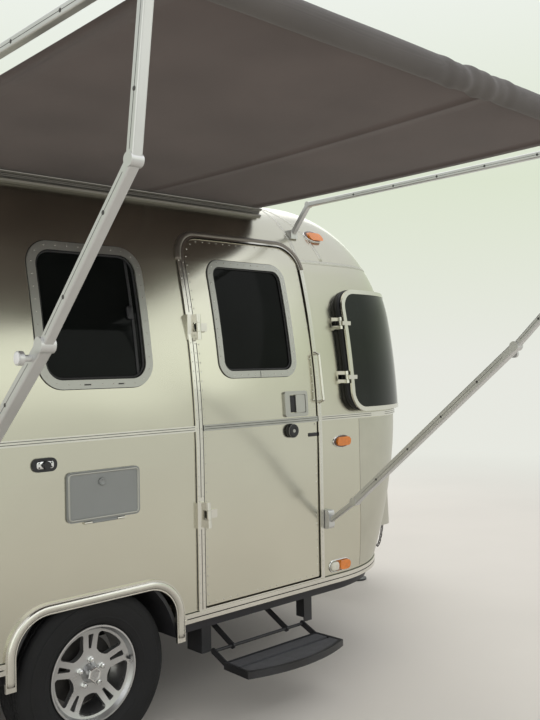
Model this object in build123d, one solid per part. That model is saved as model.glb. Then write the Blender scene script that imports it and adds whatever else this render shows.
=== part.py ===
from build123d import *
import os
from math import asin, atan2, cos, degrees, hypot, sin, sqrt

# Travel caravan with one axle, riveted aluminium shell and side awning.
# Millimetres. While it is built, X runs forward from the axle, Y to the left and Z up from the ground.
# Each piece is moved at the end so that the origin is the centre of the coupler's ball socket.

os.makedirs("parts", exist_ok=True)

# Tow hitch
BALL_X = 3320.0
BALL_HEIGHT = 470.0
BALL_R = 30.2
SOCKET_DEPTH = 26.0
COUPLER_LIP = 12.0
COUPLER_HALF_W = 48.0
COUPLER_H = 62.0
COUPLER_L = 190.0

# Body shell
ROOF_Z = 2625.0
SILL_Z = 505.0
FRONT_X = 2400.0
REAR_X = -1590.0
HALF_WIDTH = 1220.0
WALL = 45.0
SKIN = 9.0
NOSE_R = 800.0
NOSE_Z = 1450.0
TUCK_R = 2300.0
WALL_CURVE_R = 3800.0
WALL_CURVE_Z = 1210.0
CORNER_R = 600.0
FRONT_SEAM_X = 1375.0
REAR_SEAM_X = -530.0
ROOF_SEAM_Z = 2365.0
BELT_Z = 1381.0
BELT_H = 28.0
BELT_T = 9.0

# Floor, belly pan and chassis
FLOOR_T = 55.0
BELLY_T = 75.0
BELLY_INSET = 38.0
RAIL_Y = 560.0
RAIL_W = 50.0
RAIL_H = 105.0
RAIL_FRONT_X = 1950.0
TONGUE_W = 60.0
TONGUE_START_X = 1300.0
CROSS_X = (-1300.0, -650.0, 620.0, 1500.0)
CROSS_W = 50.0

# Wheels, arches and wells
TYRE_R = 359.5
TYRE_W = 222.0
TYRE_INSET = 135.0
RIM_R = 208.5
RIM_W = 178.0
BEAD_R = 196.0
SPOKES = 5
LUG_PCD = 114.3
SPINDLE_R = 21.0
ARCH_REAR_X = -390.0
ARCH_FRONT_X = 400.0
ARCH_TOP_Z = 680.0
ARCH_CORNER_R = 150.0
ARCH_TRIM_W = 45.0
ARCH_TRIM_T = 12.0
ARCH_TRIM_END_Z = 410.0
WELL_R = 408.0
WELL_T = 16.0
WELL_GAP = 49.0

# Entry door
DOOR_REAR_X = 572.0
DOOR_FRONT_X = 1362.0
DOOR_BOTTOM_Z = 535.0
DOOR_TOP_Z = 2310.0
DOOR_CORNER_R = 125.0
DOOR_FOOT_R = 10.0
DOOR_GAP = 6.0
DOOR_TRIM_REAR = 42.0
DOOR_TRIM_W = 26.0
DOOR_TRIM_T = 10.0
HINGE_Z = (975.0, 1859.0)
HINGE_R = 11.0
HINGE_H = 120.0
HINGE_STAND_OFF = 36.0

# Windows
WINDOW_Z = 1903.0
WINDOW_HALF_H = 278.0
WINDOW_R = 75.0
GLASS_T = 6.0
FLANGE_W = 38.0
FLANGE_T = 7.0

# Front corner windows wrap round from the side wall to the nose
CORNER_WINDOW_REAR_X = 1618.0
CORNER_WINDOW_FRONT_Y = 455.0
CORNER_WINDOW_Z = 1748.0
CORNER_WINDOW_HALF_H = 318.0
CORNER_WINDOW_R = 90.0

# Guards over the corner windows
GUARD_OUT = 56.0
GUARD_SHIFT = 40.0
GUARD_T = 6.0
GUARD_GROW = 24.0
GUARD_FRAME_W = 24.0
GUARD_FRAME_T = 12.0
GUARD_AXIS_OUT = 44.0
GUARD_HINGE_X = 1578.0
GUARD_HINGE_Z = (1598.0, 1896.0)
GUARD_BARREL_R = 9.0
GUARD_BARREL_H = 66.0

# Awning
AWNING_REAR_X = -800.0
AWNING_FRONT_X = 1250.0
AWNING_LIP_Y = 885.0
AWNING_LIP_Z = 2542.0
AWNING_LIP_R = 14.0
AWNING_ROLLER_Y = 2860.0
AWNING_ROLLER_Z = 2560.0
AWNING_ROLLER_R = 39.0
AWNING_ARM_X = (-870.0, 1414.0)
FABRIC_T = 4.0

# Entry step
STEP_X = 970.0
STEP_PIVOT_Y = 950.0
STEP_PIVOT_Z = 405.0
STEP_TREAD_Y = 1165.0
STEP_TREAD_Z = 295.0
STEP_PIN_R = 8.0
TREAD_Z = 250.0
TREAD_H = 33.0
TREAD_BACK_Y = 1254.0
TREAD_CORNER_Y = 1435.0
TREAD_NOSE_Y = 1497.0
TREAD_HALF_L = 326.0

# Running gap of a piece on its seat, between pin and bore, and between the knuckles of a leaning hinge
SEAT = 0.3
PIN_GAP = 0.05
KNUCKLE_GAP = 2.5
HINGE_PIN_R = 4.0

SIDES = ((-1, "right"), (1, "left"))
BIG = 4000.0

# Values that follow from the driving dimensions
TYRE_Y = HALF_WIDTH - TYRE_INSET
WELL_INNER_Y = TYRE_Y - TYRE_W / 2 - WELL_GAP
RAIL_LOW = SILL_Z - RAIL_H
BELLY_LOW = SILL_Z - BELLY_T
SILL_TUCK = TUCK_R - sqrt(TUCK_R**2 - (NOSE_Z - SILL_Z) ** 2)
SILL_REAR_X = REAR_X + SILL_TUCK


def profile_wire(inset):
    """Side profile of the body, inset all round: flat roof, round ends, tucked-in lower ends."""
    top = ROOF_Z - inset
    front = FRONT_X - inset
    rear = REAR_X + inset
    nose_r = NOSE_R - inset
    tuck_r = TUCK_R - inset
    tuck_angle = degrees(asin((NOSE_Z - SILL_Z) / tuck_r))
    with BuildLine(Plane.XZ) as wire:
        Line((rear + nose_r, top), (front - nose_r, top))
        brow = CenterArc((front - nose_r, top - nose_r), nose_r, 90, -90)
        Line(brow @ 1, (front, NOSE_Z))
        chin = CenterArc((front - tuck_r, NOSE_Z), tuck_r, 0, -tuck_angle)
        heel = CenterArc((rear + tuck_r, NOSE_Z), tuck_r, 180 + tuck_angle, -tuck_angle)
        Line(chin @ 1, heel @ 0)
        Line(heel @ 1, (rear, top - nose_r))
        CenterArc((rear + nose_r, top - nose_r), nose_r, 180, -90)
    return wire


def wall_lean(z, inset=0.0):
    """How far the side wall has curved in at a height."""
    if z <= WALL_CURVE_Z:
        return 0.0
    wall_r = WALL_CURVE_R - inset
    return wall_r - sqrt(wall_r**2 - (z - WALL_CURVE_Z) ** 2)


def section_sketch(inset):
    """Cross-section between the two side walls, which lean in above the belt line."""
    half = HALF_WIDTH - inset
    wall_r = WALL_CURVE_R - inset
    spare = 60.0
    angle = degrees(asin((ROOF_Z + spare - WALL_CURVE_Z) / wall_r))
    low = SILL_Z - spare
    with BuildSketch(Plane.YZ) as sketch:
        with BuildLine():
            bottom = Line((-half, low), (half, low))
            Line(bottom @ 1, (half, WALL_CURVE_Z))
            left = CenterArc((half - wall_r, WALL_CURVE_Z), wall_r, 0, angle)
            right = CenterArc((wall_r - half, WALL_CURVE_Z), wall_r, 180 - angle, angle)
            Line(left @ 1, right @ 0)
            Line(right @ 1, bottom @ 0)
        make_face()
    return sketch.sketch


def body_solid(inset):
    """The whole body as one solid, inset from the outer skin, with its rolled edges."""
    wire = profile_wire(inset)
    side = extrude(make_face(wire.wires()[0]), amount=HALF_WIDTH + CORNER_R, both=True)
    tunnel = extrude(section_sketch(inset), amount=FRONT_X - REAR_X, both=True)
    block = side & tunnel
    half = HALF_WIDTH - inset
    outline = []
    for edge in block.edges():
        middle = edge.position_at(0.5)
        on_wall = abs(abs(middle.Y) - half + wall_lean(middle.Z, inset)) < 2
        level_line = edge.bounding_box().size.X > FRONT_SEAM_X - REAR_SEAM_X and middle.Z < WALL_CURVE_Z + 2
        if on_wall and not level_line:
            outline.append(edge)
    return fillet(outline, radius=CORNER_R - inset)


def roll_centre():
    """Centre (y, z) and tangent angle of the roll between wall and roof."""
    reach = WALL_CURVE_R - CORNER_R
    centre_z = ROOF_Z - CORNER_R
    angle = asin((centre_z - WALL_CURVE_Z) / reach)
    return HALF_WIDTH - WALL_CURVE_R + reach * cos(angle), centre_z, angle


def skin_y(z, inset=0.0):
    """Half width of the body at a height."""
    centre_y, centre_z, angle = roll_centre()
    if z < centre_z + CORNER_R * sin(angle):
        return HALF_WIDTH - inset - wall_lean(z, inset)
    radius = CORNER_R - inset
    return centre_y + sqrt(max(radius**2 - (z - centre_z) ** 2, 0.0))


def slab(x0, x1, y0, y1, z0, z1):
    """Box from its corners."""
    centre = ((x0 + x1) / 2, (y0 + y1) / 2, (z0 + z1) / 2)
    return Pos(*centre) * Box(abs(x1 - x0), abs(y1 - y0), abs(z1 - z0))


def rod(start, end, radius):
    """Round bar from one point to another."""
    axis = Vector(*end) - Vector(*start)
    return Solid.make_cylinder(radius, axis.length, Plane(origin=start, z_dir=axis))


def tube_run(points, radius):
    """Round bar along straight runs, with a ball at each inner bend."""
    piece = rod(points[0], points[1], radius)
    for start, end in zip(points[1:-1], points[2:]):
        piece += rod(start, end, radius)
        piece += Pos(*start) * Sphere(radius)
    return piece


def box_tube(x, start, end, width, corner):
    """Square tube with rounded edges in the plane at x, between (y, z) points."""
    axis = Vector(0, end[0] - start[0], end[1] - start[1])
    plane = Plane(origin=(x, *start), x_dir=(1, 0, 0), z_dir=axis)
    return extrude(plane * RectangleRounded(width, width, corner), amount=axis.length)


def side_prism(centre_x, centre_z, half_l, half_h, radius, side, near=700.0, far=1400.0):
    """Rounded-rectangle prism through one side wall: side is -1 for right and 1 for left."""
    shape = RectangleRounded(2 * half_l, 2 * half_h, radius)
    plane = Plane(origin=(centre_x, side * near, centre_z), x_dir=(1, 0, 0), z_dir=(0, side, 0))
    return extrude(plane * shape, amount=far - near)


def end_prism(centre_y, centre_z, half_l, half_h, radius, end, near=1200.0, far=3000.0):
    """Rounded-rectangle prism through the front (end 1) or rear (end -1) of the body."""
    shape = RectangleRounded(2 * half_l, 2 * half_h, radius)
    plane = Plane(origin=(end * near, centre_y, centre_z), x_dir=(0, 1, 0), z_dir=(end, 0, 0))
    return extrude(plane * shape, amount=far - near)


def wrap_prism(side, grow=0.0):
    """Room of a front corner window, bounded by a prism across the body and one along it."""
    reach = 2000.0
    half_h = CORNER_WINDOW_HALF_H + grow
    radius = CORNER_WINDOW_R + grow
    rear_x = CORNER_WINDOW_REAR_X - grow
    front_y = CORNER_WINDOW_FRONT_Y - grow
    across = side_prism(rear_x + reach, CORNER_WINDOW_Z, reach, half_h, radius, side, front_y / 2, reach)
    along = end_prism(side * (front_y + reach), CORNER_WINDOW_Z, reach, half_h, radius, 1, rear_x / 2, BIG)
    return across & along


def joined(parts):
    """Fuse a list of solids."""
    parts = list(parts)
    whole = parts[0]
    for part in parts[1:]:
        whole = whole + part
    return whole


pieces = {}

# Body solids at the depths that the pieces need
outer = body_solid(0)
inner = body_solid(WALL)
shell = outer - inner
flange_layer = body_solid(-FLANGE_T) - outer
glass_layer = body_solid(SKIN) - body_solid(SKIN + GLASS_T)

# Side windows: side, centre x, half length
SIDE_WINDOWS = ((-1, 27.0, 248.0), (1, -250.0, 248.0), (1, 780.0, 330.0))
# End windows: end, half length, half height, centre z
END_WINDOWS = ((1, 370.0, CORNER_WINDOW_HALF_H - 10, CORNER_WINDOW_Z), (-1, 400.0, 250.0, 1780.0))

window_prisms = []
flange_prisms = []
for side, x, half_l in SIDE_WINDOWS:
    window_prisms.append(side_prism(x, WINDOW_Z, half_l, WINDOW_HALF_H, WINDOW_R, side))
    flange_prisms.append(
        side_prism(x, WINDOW_Z, half_l + FLANGE_W, WINDOW_HALF_H + FLANGE_W, WINDOW_R + FLANGE_W, side)
    )
for end, half_l, half_h, z in END_WINDOWS:
    window_prisms.append(end_prism(0, z, half_l, half_h, WINDOW_R, end))
    flange_prisms.append(end_prism(0, z, half_l + FLANGE_W, half_h + FLANGE_W, WINDOW_R + FLANGE_W, end))
corner_prisms = [wrap_prism(side) for side, word in SIDES]

# Door opening and door leaf
def door_shape(grow_rear, grow_front, grow_top, grow_foot):
    """Prism of the doorway, round at its top corners and nearly square at its foot."""
    rear = DOOR_REAR_X - grow_rear
    front = DOOR_FRONT_X + grow_front
    low = DOOR_BOTTOM_Z - grow_foot
    high = DOOR_TOP_Z + grow_top
    shape = Pos((rear + front) / 2, (low + high) / 2) * Rectangle(front - rear, high - low)
    shape = fillet(shape.vertices().group_by(Axis.Y)[-1], DOOR_CORNER_R + grow_top)
    shape = fillet(shape.vertices().group_by(Axis.Y)[0], DOOR_FOOT_R)
    return extrude(Plane(origin=(0, -700, 0), x_dir=(1, 0, 0), z_dir=(0, -1, 0)) * shape, amount=700)


door_opening = door_shape(0, 0, 0, 0)
door_prism = door_shape(-DOOR_GAP, -DOOR_GAP, -DOOR_GAP, -DOOR_GAP)
# Door window: centre x, centre z, half length, half height, corner radius
DOOR_WINDOW = (968.0, 1906.0, 230.0, 260.0, 50.0)
dw_x, dw_z, dw_l, dw_h, dw_r = DOOR_WINDOW
door_window = side_prism(*DOOR_WINDOW, -1)
DOOR_FLANGE_W = 34.0
door_flange = side_prism(
    dw_x, dw_z, dw_l + DOOR_FLANGE_W, dw_h + DOOR_FLANGE_W, dw_r + DOOR_FLANGE_W, -1
)

# Service hatch in the right wall
HATCH_X = 27.0
HATCH_Z = 1137.0
HATCH_HALF_L = 180.0
HATCH_HALF_H = 105.0
HATCH_R = 22.0
HATCH_T = 10.0
HATCH_LAP = 14.0
hatch_opening = side_prism(
    HATCH_X, HATCH_Z, HATCH_HALF_L - HATCH_LAP, HATCH_HALF_H - HATCH_LAP, HATCH_R, -1, HALF_WIDTH - WALL / 2
)

arch_half = (ARCH_FRONT_X - ARCH_REAR_X) / 2
arch_mid = (ARCH_FRONT_X + ARCH_REAR_X) / 2
WELL_Z = TYRE_R + 20


def arch_prism(grow, side, near, far, low=0.0):
    """Wheel arch opening, flat on top with round corners."""
    height = ARCH_TOP_Z + grow - low
    shape = Pos(0, height / 2) * Rectangle(2 * (arch_half + grow), height)
    shape = fillet(shape.vertices().group_by(Axis.Y)[-1], ARCH_CORNER_R + grow)
    plane = Plane(origin=(arch_mid, side * near, low), x_dir=(-side, 0, 0), z_dir=(0, side, 0))
    return extrude(plane * shape, amount=far - near)


def well_prism(radius, side, near, far):
    """Round-topped wheel well."""
    tunnel = rod((0, side * near, WELL_Z), (0, side * far, WELL_Z), radius)
    legs = slab(-radius, radius, side * near, side * far, RAIL_LOW - BELLY_T, WELL_Z)
    return tunnel + legs


ARCH_NEAR = HALF_WIDTH - 4 * WALL
ARCH_FAR = HALF_WIDTH + 2 * WALL
arches = [arch_prism(0, side, ARCH_NEAR, ARCH_FAR) for side, word in SIDES]
well_room = [
    well_prism(WELL_R + WELL_T, side, WELL_INNER_Y - WELL_T, HALF_WIDTH - SKIN) for side, word in SIDES
]
shell = shell - window_prisms - corner_prisms - door_opening - hatch_opening - arches - well_room

# Panels of the shell: name, x range, y range, z range
PANELS = (
    ("wall_right", (REAR_SEAM_X, FRONT_SEAM_X), (-BIG, 0), (0, ROOF_SEAM_Z)),
    ("wall_left", (REAR_SEAM_X, FRONT_SEAM_X), (0, BIG), (0, ROOF_SEAM_Z)),
    ("roof", (REAR_SEAM_X, FRONT_SEAM_X), (-BIG, BIG), (ROOF_SEAM_Z, BIG)),
    ("front_cap_upper", (FRONT_SEAM_X, BIG), (-BIG, BIG), (BELT_Z, BIG)),
    ("front_cap_lower", (FRONT_SEAM_X, BIG), (-BIG, BIG), (0, BELT_Z)),
    ("rear_cap_upper", (-BIG, REAR_SEAM_X), (-BIG, BIG), (BELT_Z, BIG)),
    ("rear_cap_lower", (-BIG, REAR_SEAM_X), (-BIG, BIG), (0, BELT_Z)),
)
for name, x_range, y_range, z_range in PANELS:
    pieces[name] = shell & slab(*x_range, *y_range, *z_range)

pieces["floor"] = (inner & slab(-BIG, BIG, -BIG, BIG, SILL_Z, SILL_Z + FLOOR_T)) - well_room

# Chassis: two rails, cross-members, and an A-frame that meets behind the coupler
TONGUE_END_X = BALL_X - 120
JACK_X = BALL_X - 265
JACK_TUBE_R = 30.0
JACK_LEG_R = 24.0
JACK_TOP_Z = 960.0
JACK_PLATE_T = 10.0
TONGUE_BLOCK_W = 124.0
chassis_parts = []
for side, word in SIDES:
    chassis_parts.append(
        slab(
            SILL_REAR_X + CROSS_W, RAIL_FRONT_X, side * RAIL_Y - RAIL_W / 2, side * RAIL_Y + RAIL_W / 2,
            RAIL_LOW, SILL_Z
        )
    )
    start = Vector(TONGUE_START_X, side * (RAIL_Y - 40), 0)
    end = Vector(TONGUE_END_X, side * 34, 0)
    run = end - start
    mid = (start + end) * 0.5
    turn = Rot(0, 0, degrees(atan2(run.Y, run.X)))
    chassis_parts.append(Pos(mid.X, mid.Y, RAIL_LOW + RAIL_H / 2) * turn * Box(run.length, TONGUE_W, RAIL_H))
for x in CROSS_X:
    chassis_parts.append(slab(x - CROSS_W / 2, x + CROSS_W / 2, -RAIL_Y, RAIL_Y, RAIL_LOW + 20, SILL_Z))
chassis_parts.append(
    slab(BALL_X - COUPLER_L, TONGUE_END_X, -TONGUE_BLOCK_W / 2, TONGUE_BLOCK_W / 2, RAIL_LOW, SILL_Z)
)
chassis_parts.append(slab(JACK_X - 60, JACK_X + 60, -95, 95, SILL_Z - JACK_PLATE_T, SILL_Z))
chassis = joined(chassis_parts)
chassis -= rod((JACK_X, 0, 0), (JACK_X, 0, JACK_TOP_Z), JACK_TUBE_R + SEAT)
pieces["chassis_frame"] = chassis

# Belly pan round the rails, inset from the shell
belly = body_solid(BELLY_INSET) & slab(-BIG, BIG, -BIG, BIG, SILL_Z, SILL_Z + BELLY_T)
belly = Pos(0, 0, -BELLY_T) * belly
belly = belly - chassis - well_room
pieces["belly_pan"] = belly

# Wheel wells, open below and towards the arch
wells = []
for side, word in SIDES:
    well = well_prism(WELL_R + WELL_T, side, WELL_INNER_Y - WELL_T, HALF_WIDTH - SKIN)
    well -= well_prism(WELL_R, side, WELL_INNER_Y, HALF_WIDTH)
    wells.append(well & slab(-BIG, BIG, -BIG, BIG, BELLY_LOW, ROOF_Z))
pieces["wheel_wells"] = joined(wells)

# Axle: square tube, trailing arms, spindles and hangers up to the rails
AXLE_X = 125.0
AXLE_Z = 352.0
AXLE_SQ = 76.0
AXLE_END_Y = TYRE_Y - 285
ARM_T = 35.0
HANGER_HALF_L = 60.0
axle_parts = [
    slab(
        AXLE_X - AXLE_SQ / 2, AXLE_X + AXLE_SQ / 2, -AXLE_END_Y, AXLE_END_Y, AXLE_Z - AXLE_SQ / 2,
        AXLE_Z + AXLE_SQ / 2
    )
]
for side, word in SIDES:
    arm_out = AXLE_END_Y + ARM_T
    arm = rod((AXLE_X, side * AXLE_END_Y, AXLE_Z), (AXLE_X, side * arm_out, AXLE_Z), 48)
    arm += rod((0, side * AXLE_END_Y, TYRE_R), (0, side * arm_out, TYRE_R), 38)
    arm += slab(0, AXLE_X, side * AXLE_END_Y, side * arm_out, TYRE_R - 34, TYRE_R + 34)
    axle_parts.append(arm)
    axle_parts.append(rod((0, side * arm_out, TYRE_R), (0, side * (TYRE_Y + 30), TYRE_R), SPINDLE_R))
    hanger = slab(
        AXLE_X - HANGER_HALF_L, AXLE_X + HANGER_HALF_L,
        side * RAIL_Y - RAIL_W / 2, side * RAIL_Y + RAIL_W / 2,
        AXLE_Z + 20, RAIL_LOW
    )
    axle_parts.append(hanger)
pieces["axle"] = joined(axle_parts)


def turned(points):
    """Solid of revolution about the wheel's axis from (radius, offset) points."""
    with BuildSketch(Plane.XZ) as sketch:
        with BuildLine():
            Polyline(*points, close=True)
        make_face()
    return revolve(sketch.sketch, Axis.Z)


def make_tyre():
    """Tyre on its bead seats, with flanks and shoulders in straight facets."""
    half = TYRE_W / 2
    seat_half = RIM_W / 2 - 13 - SEAT
    # One side's outline from the bead to the tread: radius, offset
    flank = (
        (BEAD_R + SEAT, seat_half),
        (RIM_R + 1, seat_half),
        (RIM_R + 7, seat_half + 9),
        (RIM_R + 42, half - 6),
        (RIM_R + 80, half),
        (TYRE_R - 30, half - 7),
        (TYRE_R - 10, half - 20),
        (TYRE_R, half - 42),
    )
    mirrored = [(radius, -offset) for radius, offset in reversed(flank)]
    return turned(list(flank) + mirrored)


HUB_FACE = RIM_W / 2 - 38
HUB_R = 82.0
HUB_T = 34.0
BORE_R = SPINDLE_R + PIN_GAP
LIP_T = 9.0
LUG_R = 10.0
LUG_H = 16.0
CAP_R = (44.0, 31.0)
CAP_H = 38.0


def make_rim():
    """Alloy rim: barrel with lips, dished disc cut into split spokes, lugs and cap, outer face at +Z."""
    half = RIM_W / 2
    barrel = turned(
        (
            (RIM_R, half),
            (RIM_R, half - LIP_T),
            (BEAD_R, half - LIP_T - 4),
            (BEAD_R, -half + LIP_T + 4),
            (RIM_R, -half + LIP_T),
            (RIM_R, -half),
            (RIM_R - 7, -half),
            (BEAD_R - LIP_T, -half + 16),
            (BEAD_R - LIP_T, half - 24),
            (RIM_R - LIP_T, half - 4),
            (RIM_R - 7, half),
        )
    )
    edge_r = BEAD_R - LIP_T / 2
    with BuildSketch(Plane.XZ) as section:
        with BuildLine():
            Line((BORE_R, HUB_FACE), (HUB_R, HUB_FACE))
            ThreePointArc((HUB_R, HUB_FACE), (140, HUB_FACE + 5), (edge_r, half - 20))
            Line((edge_r, half - 20), (edge_r, half - 42))
            ThreePointArc((edge_r, half - 42), (140, HUB_FACE - 21), (HUB_R, HUB_FACE - HUB_T))
            Line((HUB_R, HUB_FACE - HUB_T), (BORE_R, HUB_FACE - HUB_T))
            Line((BORE_R, HUB_FACE - HUB_T), (BORE_R, HUB_FACE))
        make_face()
    disc = revolve(section.sketch, Axis.Z)
    with BuildSketch() as window:
        with BuildLine():
            Line((98, -31), (164, -72))
            ThreePointArc((164, -72), (179, 0), (164, 72))
            Line((164, 72), (98, 31))
            ThreePointArc((98, 31), (90, 0), (98, -31))
        make_face()
        fillet(window.vertices().group_by(Axis.X)[-1], 14)
    slot = fillet(make_face(Polyline((104, -6), (168, -13), (168, 13), (104, 6), close=True)).vertices(), 4)
    step = 360 / SPOKES
    for index in range(SPOKES):
        spoke_turn = Rot(0, 0, 90 + index * step)
        window_turn = Rot(0, 0, 90 + (index + 0.5) * step)
        disc -= spoke_turn * extrude(slot, amount=RIM_W, both=True)
        disc -= window_turn * extrude(window.sketch, amount=RIM_W, both=True)
    rim = barrel + disc
    for index in range(SPOKES):
        lug_turn = Rot(0, 0, 90 + index * step)
        rim += lug_turn * Pos(LUG_PCD / 2, 0, HUB_FACE + LUG_H / 2) * Cylinder(LUG_R, LUG_H)
    rim += Pos(0, 0, HUB_FACE + CAP_H / 2) * Cone(CAP_R[0], CAP_R[1], CAP_H)
    return rim


def make_drum():
    """Brake drum behind the disc, with the hub that seats on it."""
    low = -RIM_W / 2 + 12
    hub_back = HUB_FACE - HUB_T
    drum = rod((0, 0, low), (0, 0, low + 60), 150)
    drum += rod((0, 0, low + 60), (0, 0, hub_back), 62)
    return drum - rod((0, 0, low - 5), (0, 0, hub_back + 5), BORE_R)


tyre_master = make_tyre()
rim_master = make_rim()
drum_master = make_drum()
for side, word in SIDES:
    # Outer faces look out on both sides
    place = Pos(0, side * TYRE_Y, TYRE_R) * Rot(-90 * side, 0, 0)
    pieces["tyre_" + word] = place * tyre_master
    pieces["rim_" + word] = place * rim_master
    pieces["brake_drum_" + word] = place * drum_master

# Trims round the wheel arches
trims = []
for side, word in SIDES:
    band = arch_prism(ARCH_TRIM_W, side, HALF_WIDTH, HALF_WIDTH + ARCH_TRIM_T, ARCH_TRIM_END_Z)
    trims.append(band - arch_prism(0, side, ARCH_NEAR, ARCH_FAR))
pieces["wheel_arch_trims"] = joined(trims)

# Sill rail round the body's foot: two beads on a backing strip
RAIL_STRIP_T = 7.0
RAIL_BEAD_T = 13.0
# Beads: low z, high z
RAIL_BEADS = ((485.0, 504.0), (509.0, 528.0))
TONGUE_NOTCH_Y = 330.0


def sill_band(thickness, low, high):
    """Band round the sill from its outline, standing out by a thickness."""
    foot = body_solid(-thickness).faces().sort_by(Axis.Z)[0]
    core = outer.faces().sort_by(Axis.Z)[0]
    down = SILL_Z - RAIL_BEADS[0][0]
    up = RAIL_BEADS[1][1] - SILL_Z
    band = extrude(foot, amount=up, dir=(0, 0, 1)) + extrude(foot, amount=down, dir=(0, 0, -1))
    band = band - outer - extrude(core, amount=down, dir=(0, 0, -1))
    return band & slab(-BIG, BIG, -BIG, BIG, low, high)


sill_rail = sill_band(RAIL_STRIP_T, RAIL_BEADS[0][0], RAIL_BEADS[1][1])
for low, high in RAIL_BEADS:
    sill_rail = sill_rail + sill_band(RAIL_BEAD_T, low, high)
sill_rail = sill_rail - [
    arch_prism(ARCH_TRIM_W, side, ARCH_NEAR, ARCH_FAR) for side, word in SIDES
]
sill_rail -= slab(
    FRONT_X - CORNER_R, FRONT_X, -TONGUE_NOTCH_Y, TONGUE_NOTCH_Y, RAIL_BEADS[0][0] - SEAT, SILL_Z + SEAT
)
pieces["sill_rail"] = sill_rail

# Belt moulding round walls and end caps, with the door's own length of it
belt = (body_solid(-BELT_T) - outer) & slab(-BIG, BIG, -BIG, BIG, BELT_Z - BELT_H / 2, BELT_Z + BELT_H / 2)
door_trim_prism = door_shape(DOOR_TRIM_REAR, DOOR_TRIM_W, DOOR_TRIM_W, DOOR_TRIM_W)
body_belt = belt - door_trim_prism
door_belt = belt & door_prism

# Window flanges and glass
frames = flange_layer & joined(flange_prisms)
pieces["window_frames"] = frames - window_prisms
pieces["window_glass"] = glass_layer & joined(window_prisms + corner_prisms)

# Hinged guards over the corner windows
guard_set_back = Pos(-GUARD_SHIFT, 0, 0)
guard_panel_layer = guard_set_back * (body_solid(-GUARD_OUT) - body_solid(GUARD_T - GUARD_OUT))
guard_frame_out = -GUARD_OUT - GUARD_T / 2
guard_frame_layer = guard_set_back * (
    body_solid(guard_frame_out) - body_solid(guard_frame_out + GUARD_FRAME_T)
)


def guard_axis(side, z):
    """Point on a guard's hinge axis, which follows the lean of the wall between its two hinges."""
    low, high = GUARD_HINGE_Z
    share = (z - low) / (high - low)
    y = skin_y(low) + share * (skin_y(high) - skin_y(low)) + GUARD_AXIS_OUT
    return Vector(GUARD_HINGE_X, side * y, z)


guard_brackets = []
third = GUARD_BARREL_H / 6
STRAP_L = 62.0
STRAP_T = 5.0
for side, word in SIDES:
    whole = wrap_prism(side, GUARD_GROW)
    hole = wrap_prism(side, GUARD_GROW - GUARD_FRAME_W)
    pieces["window_guard_" + word] = guard_panel_layer & hole
    frame = (guard_frame_layer & whole) - hole
    for z in GUARD_HINGE_Z:
        axis_y = guard_axis(side, z).Y
        wall_y = side * skin_y(z)
        for z0, z1 in ((z - 3 * third, z - third - KNUCKLE_GAP), (z + third + KNUCKLE_GAP, z + 3 * third)):
            tab = rod(guard_axis(side, z0), guard_axis(side, z1), GUARD_BARREL_R)
            tab += slab(GUARD_HINGE_X - 4, GUARD_HINGE_X + 4, wall_y - side * 4, axis_y, z0, z1)
            guard_brackets.append(tab - outer)
        pin_ends = (guard_axis(side, z - third * 2), guard_axis(side, z + third * 2))
        guard_brackets.append(rod(*pin_ends, HINGE_PIN_R))
        plate_y = wall_y + side * (STRAP_T - 2)
        plate = slab(
            GUARD_HINGE_X - 30, GUARD_HINGE_X + 8, wall_y - side * 4, plate_y, z - 3 * third, z + 3 * third
        )
        guard_brackets.append(plate - outer)
        strap_y = wall_y + side * (GUARD_OUT + GUARD_T / 2)
        strap = rod(guard_axis(side, z - third), guard_axis(side, z + third), GUARD_BARREL_R)
        strap += slab(
            GUARD_HINGE_X, GUARD_HINGE_X + STRAP_L, strap_y, strap_y + side * STRAP_T, z - third, z + third
        )
        strap += slab(
            GUARD_HINGE_X - 5, GUARD_HINGE_X + 5, axis_y, strap_y + side * STRAP_T, z - third, z + third
        )
        bore = rod(*pin_ends, HINGE_PIN_R + PIN_GAP)
        frame = frame + (strap - bore)
    pieces["guard_frame_" + word] = frame - pieces["window_guard_" + word]

# Entry door
pieces["entry_door"] = ((outer - inner) & door_prism) - door_window
pieces["door_mouldings"] = ((flange_layer & door_flange) - door_window) + door_belt
pieces["door_glass"] = glass_layer & door_window

# Door hinges, whose axis is the line between them just off the skin
HINGE_X = DOOR_REAR_X + 4
PLATE_T = 16.0
FIXED_L = 51.0
MOVING_L = 67.0
TAB_L = 14.0


def door_axis(z):
    """Point on the door's hinge axis at a height."""
    low, high = HINGE_Z
    share = (z - low) / (high - low)
    y = skin_y(low) + share * (skin_y(high) - skin_y(low)) + HINGE_STAND_OFF
    return Vector(HINGE_X, -y, z)


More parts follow.
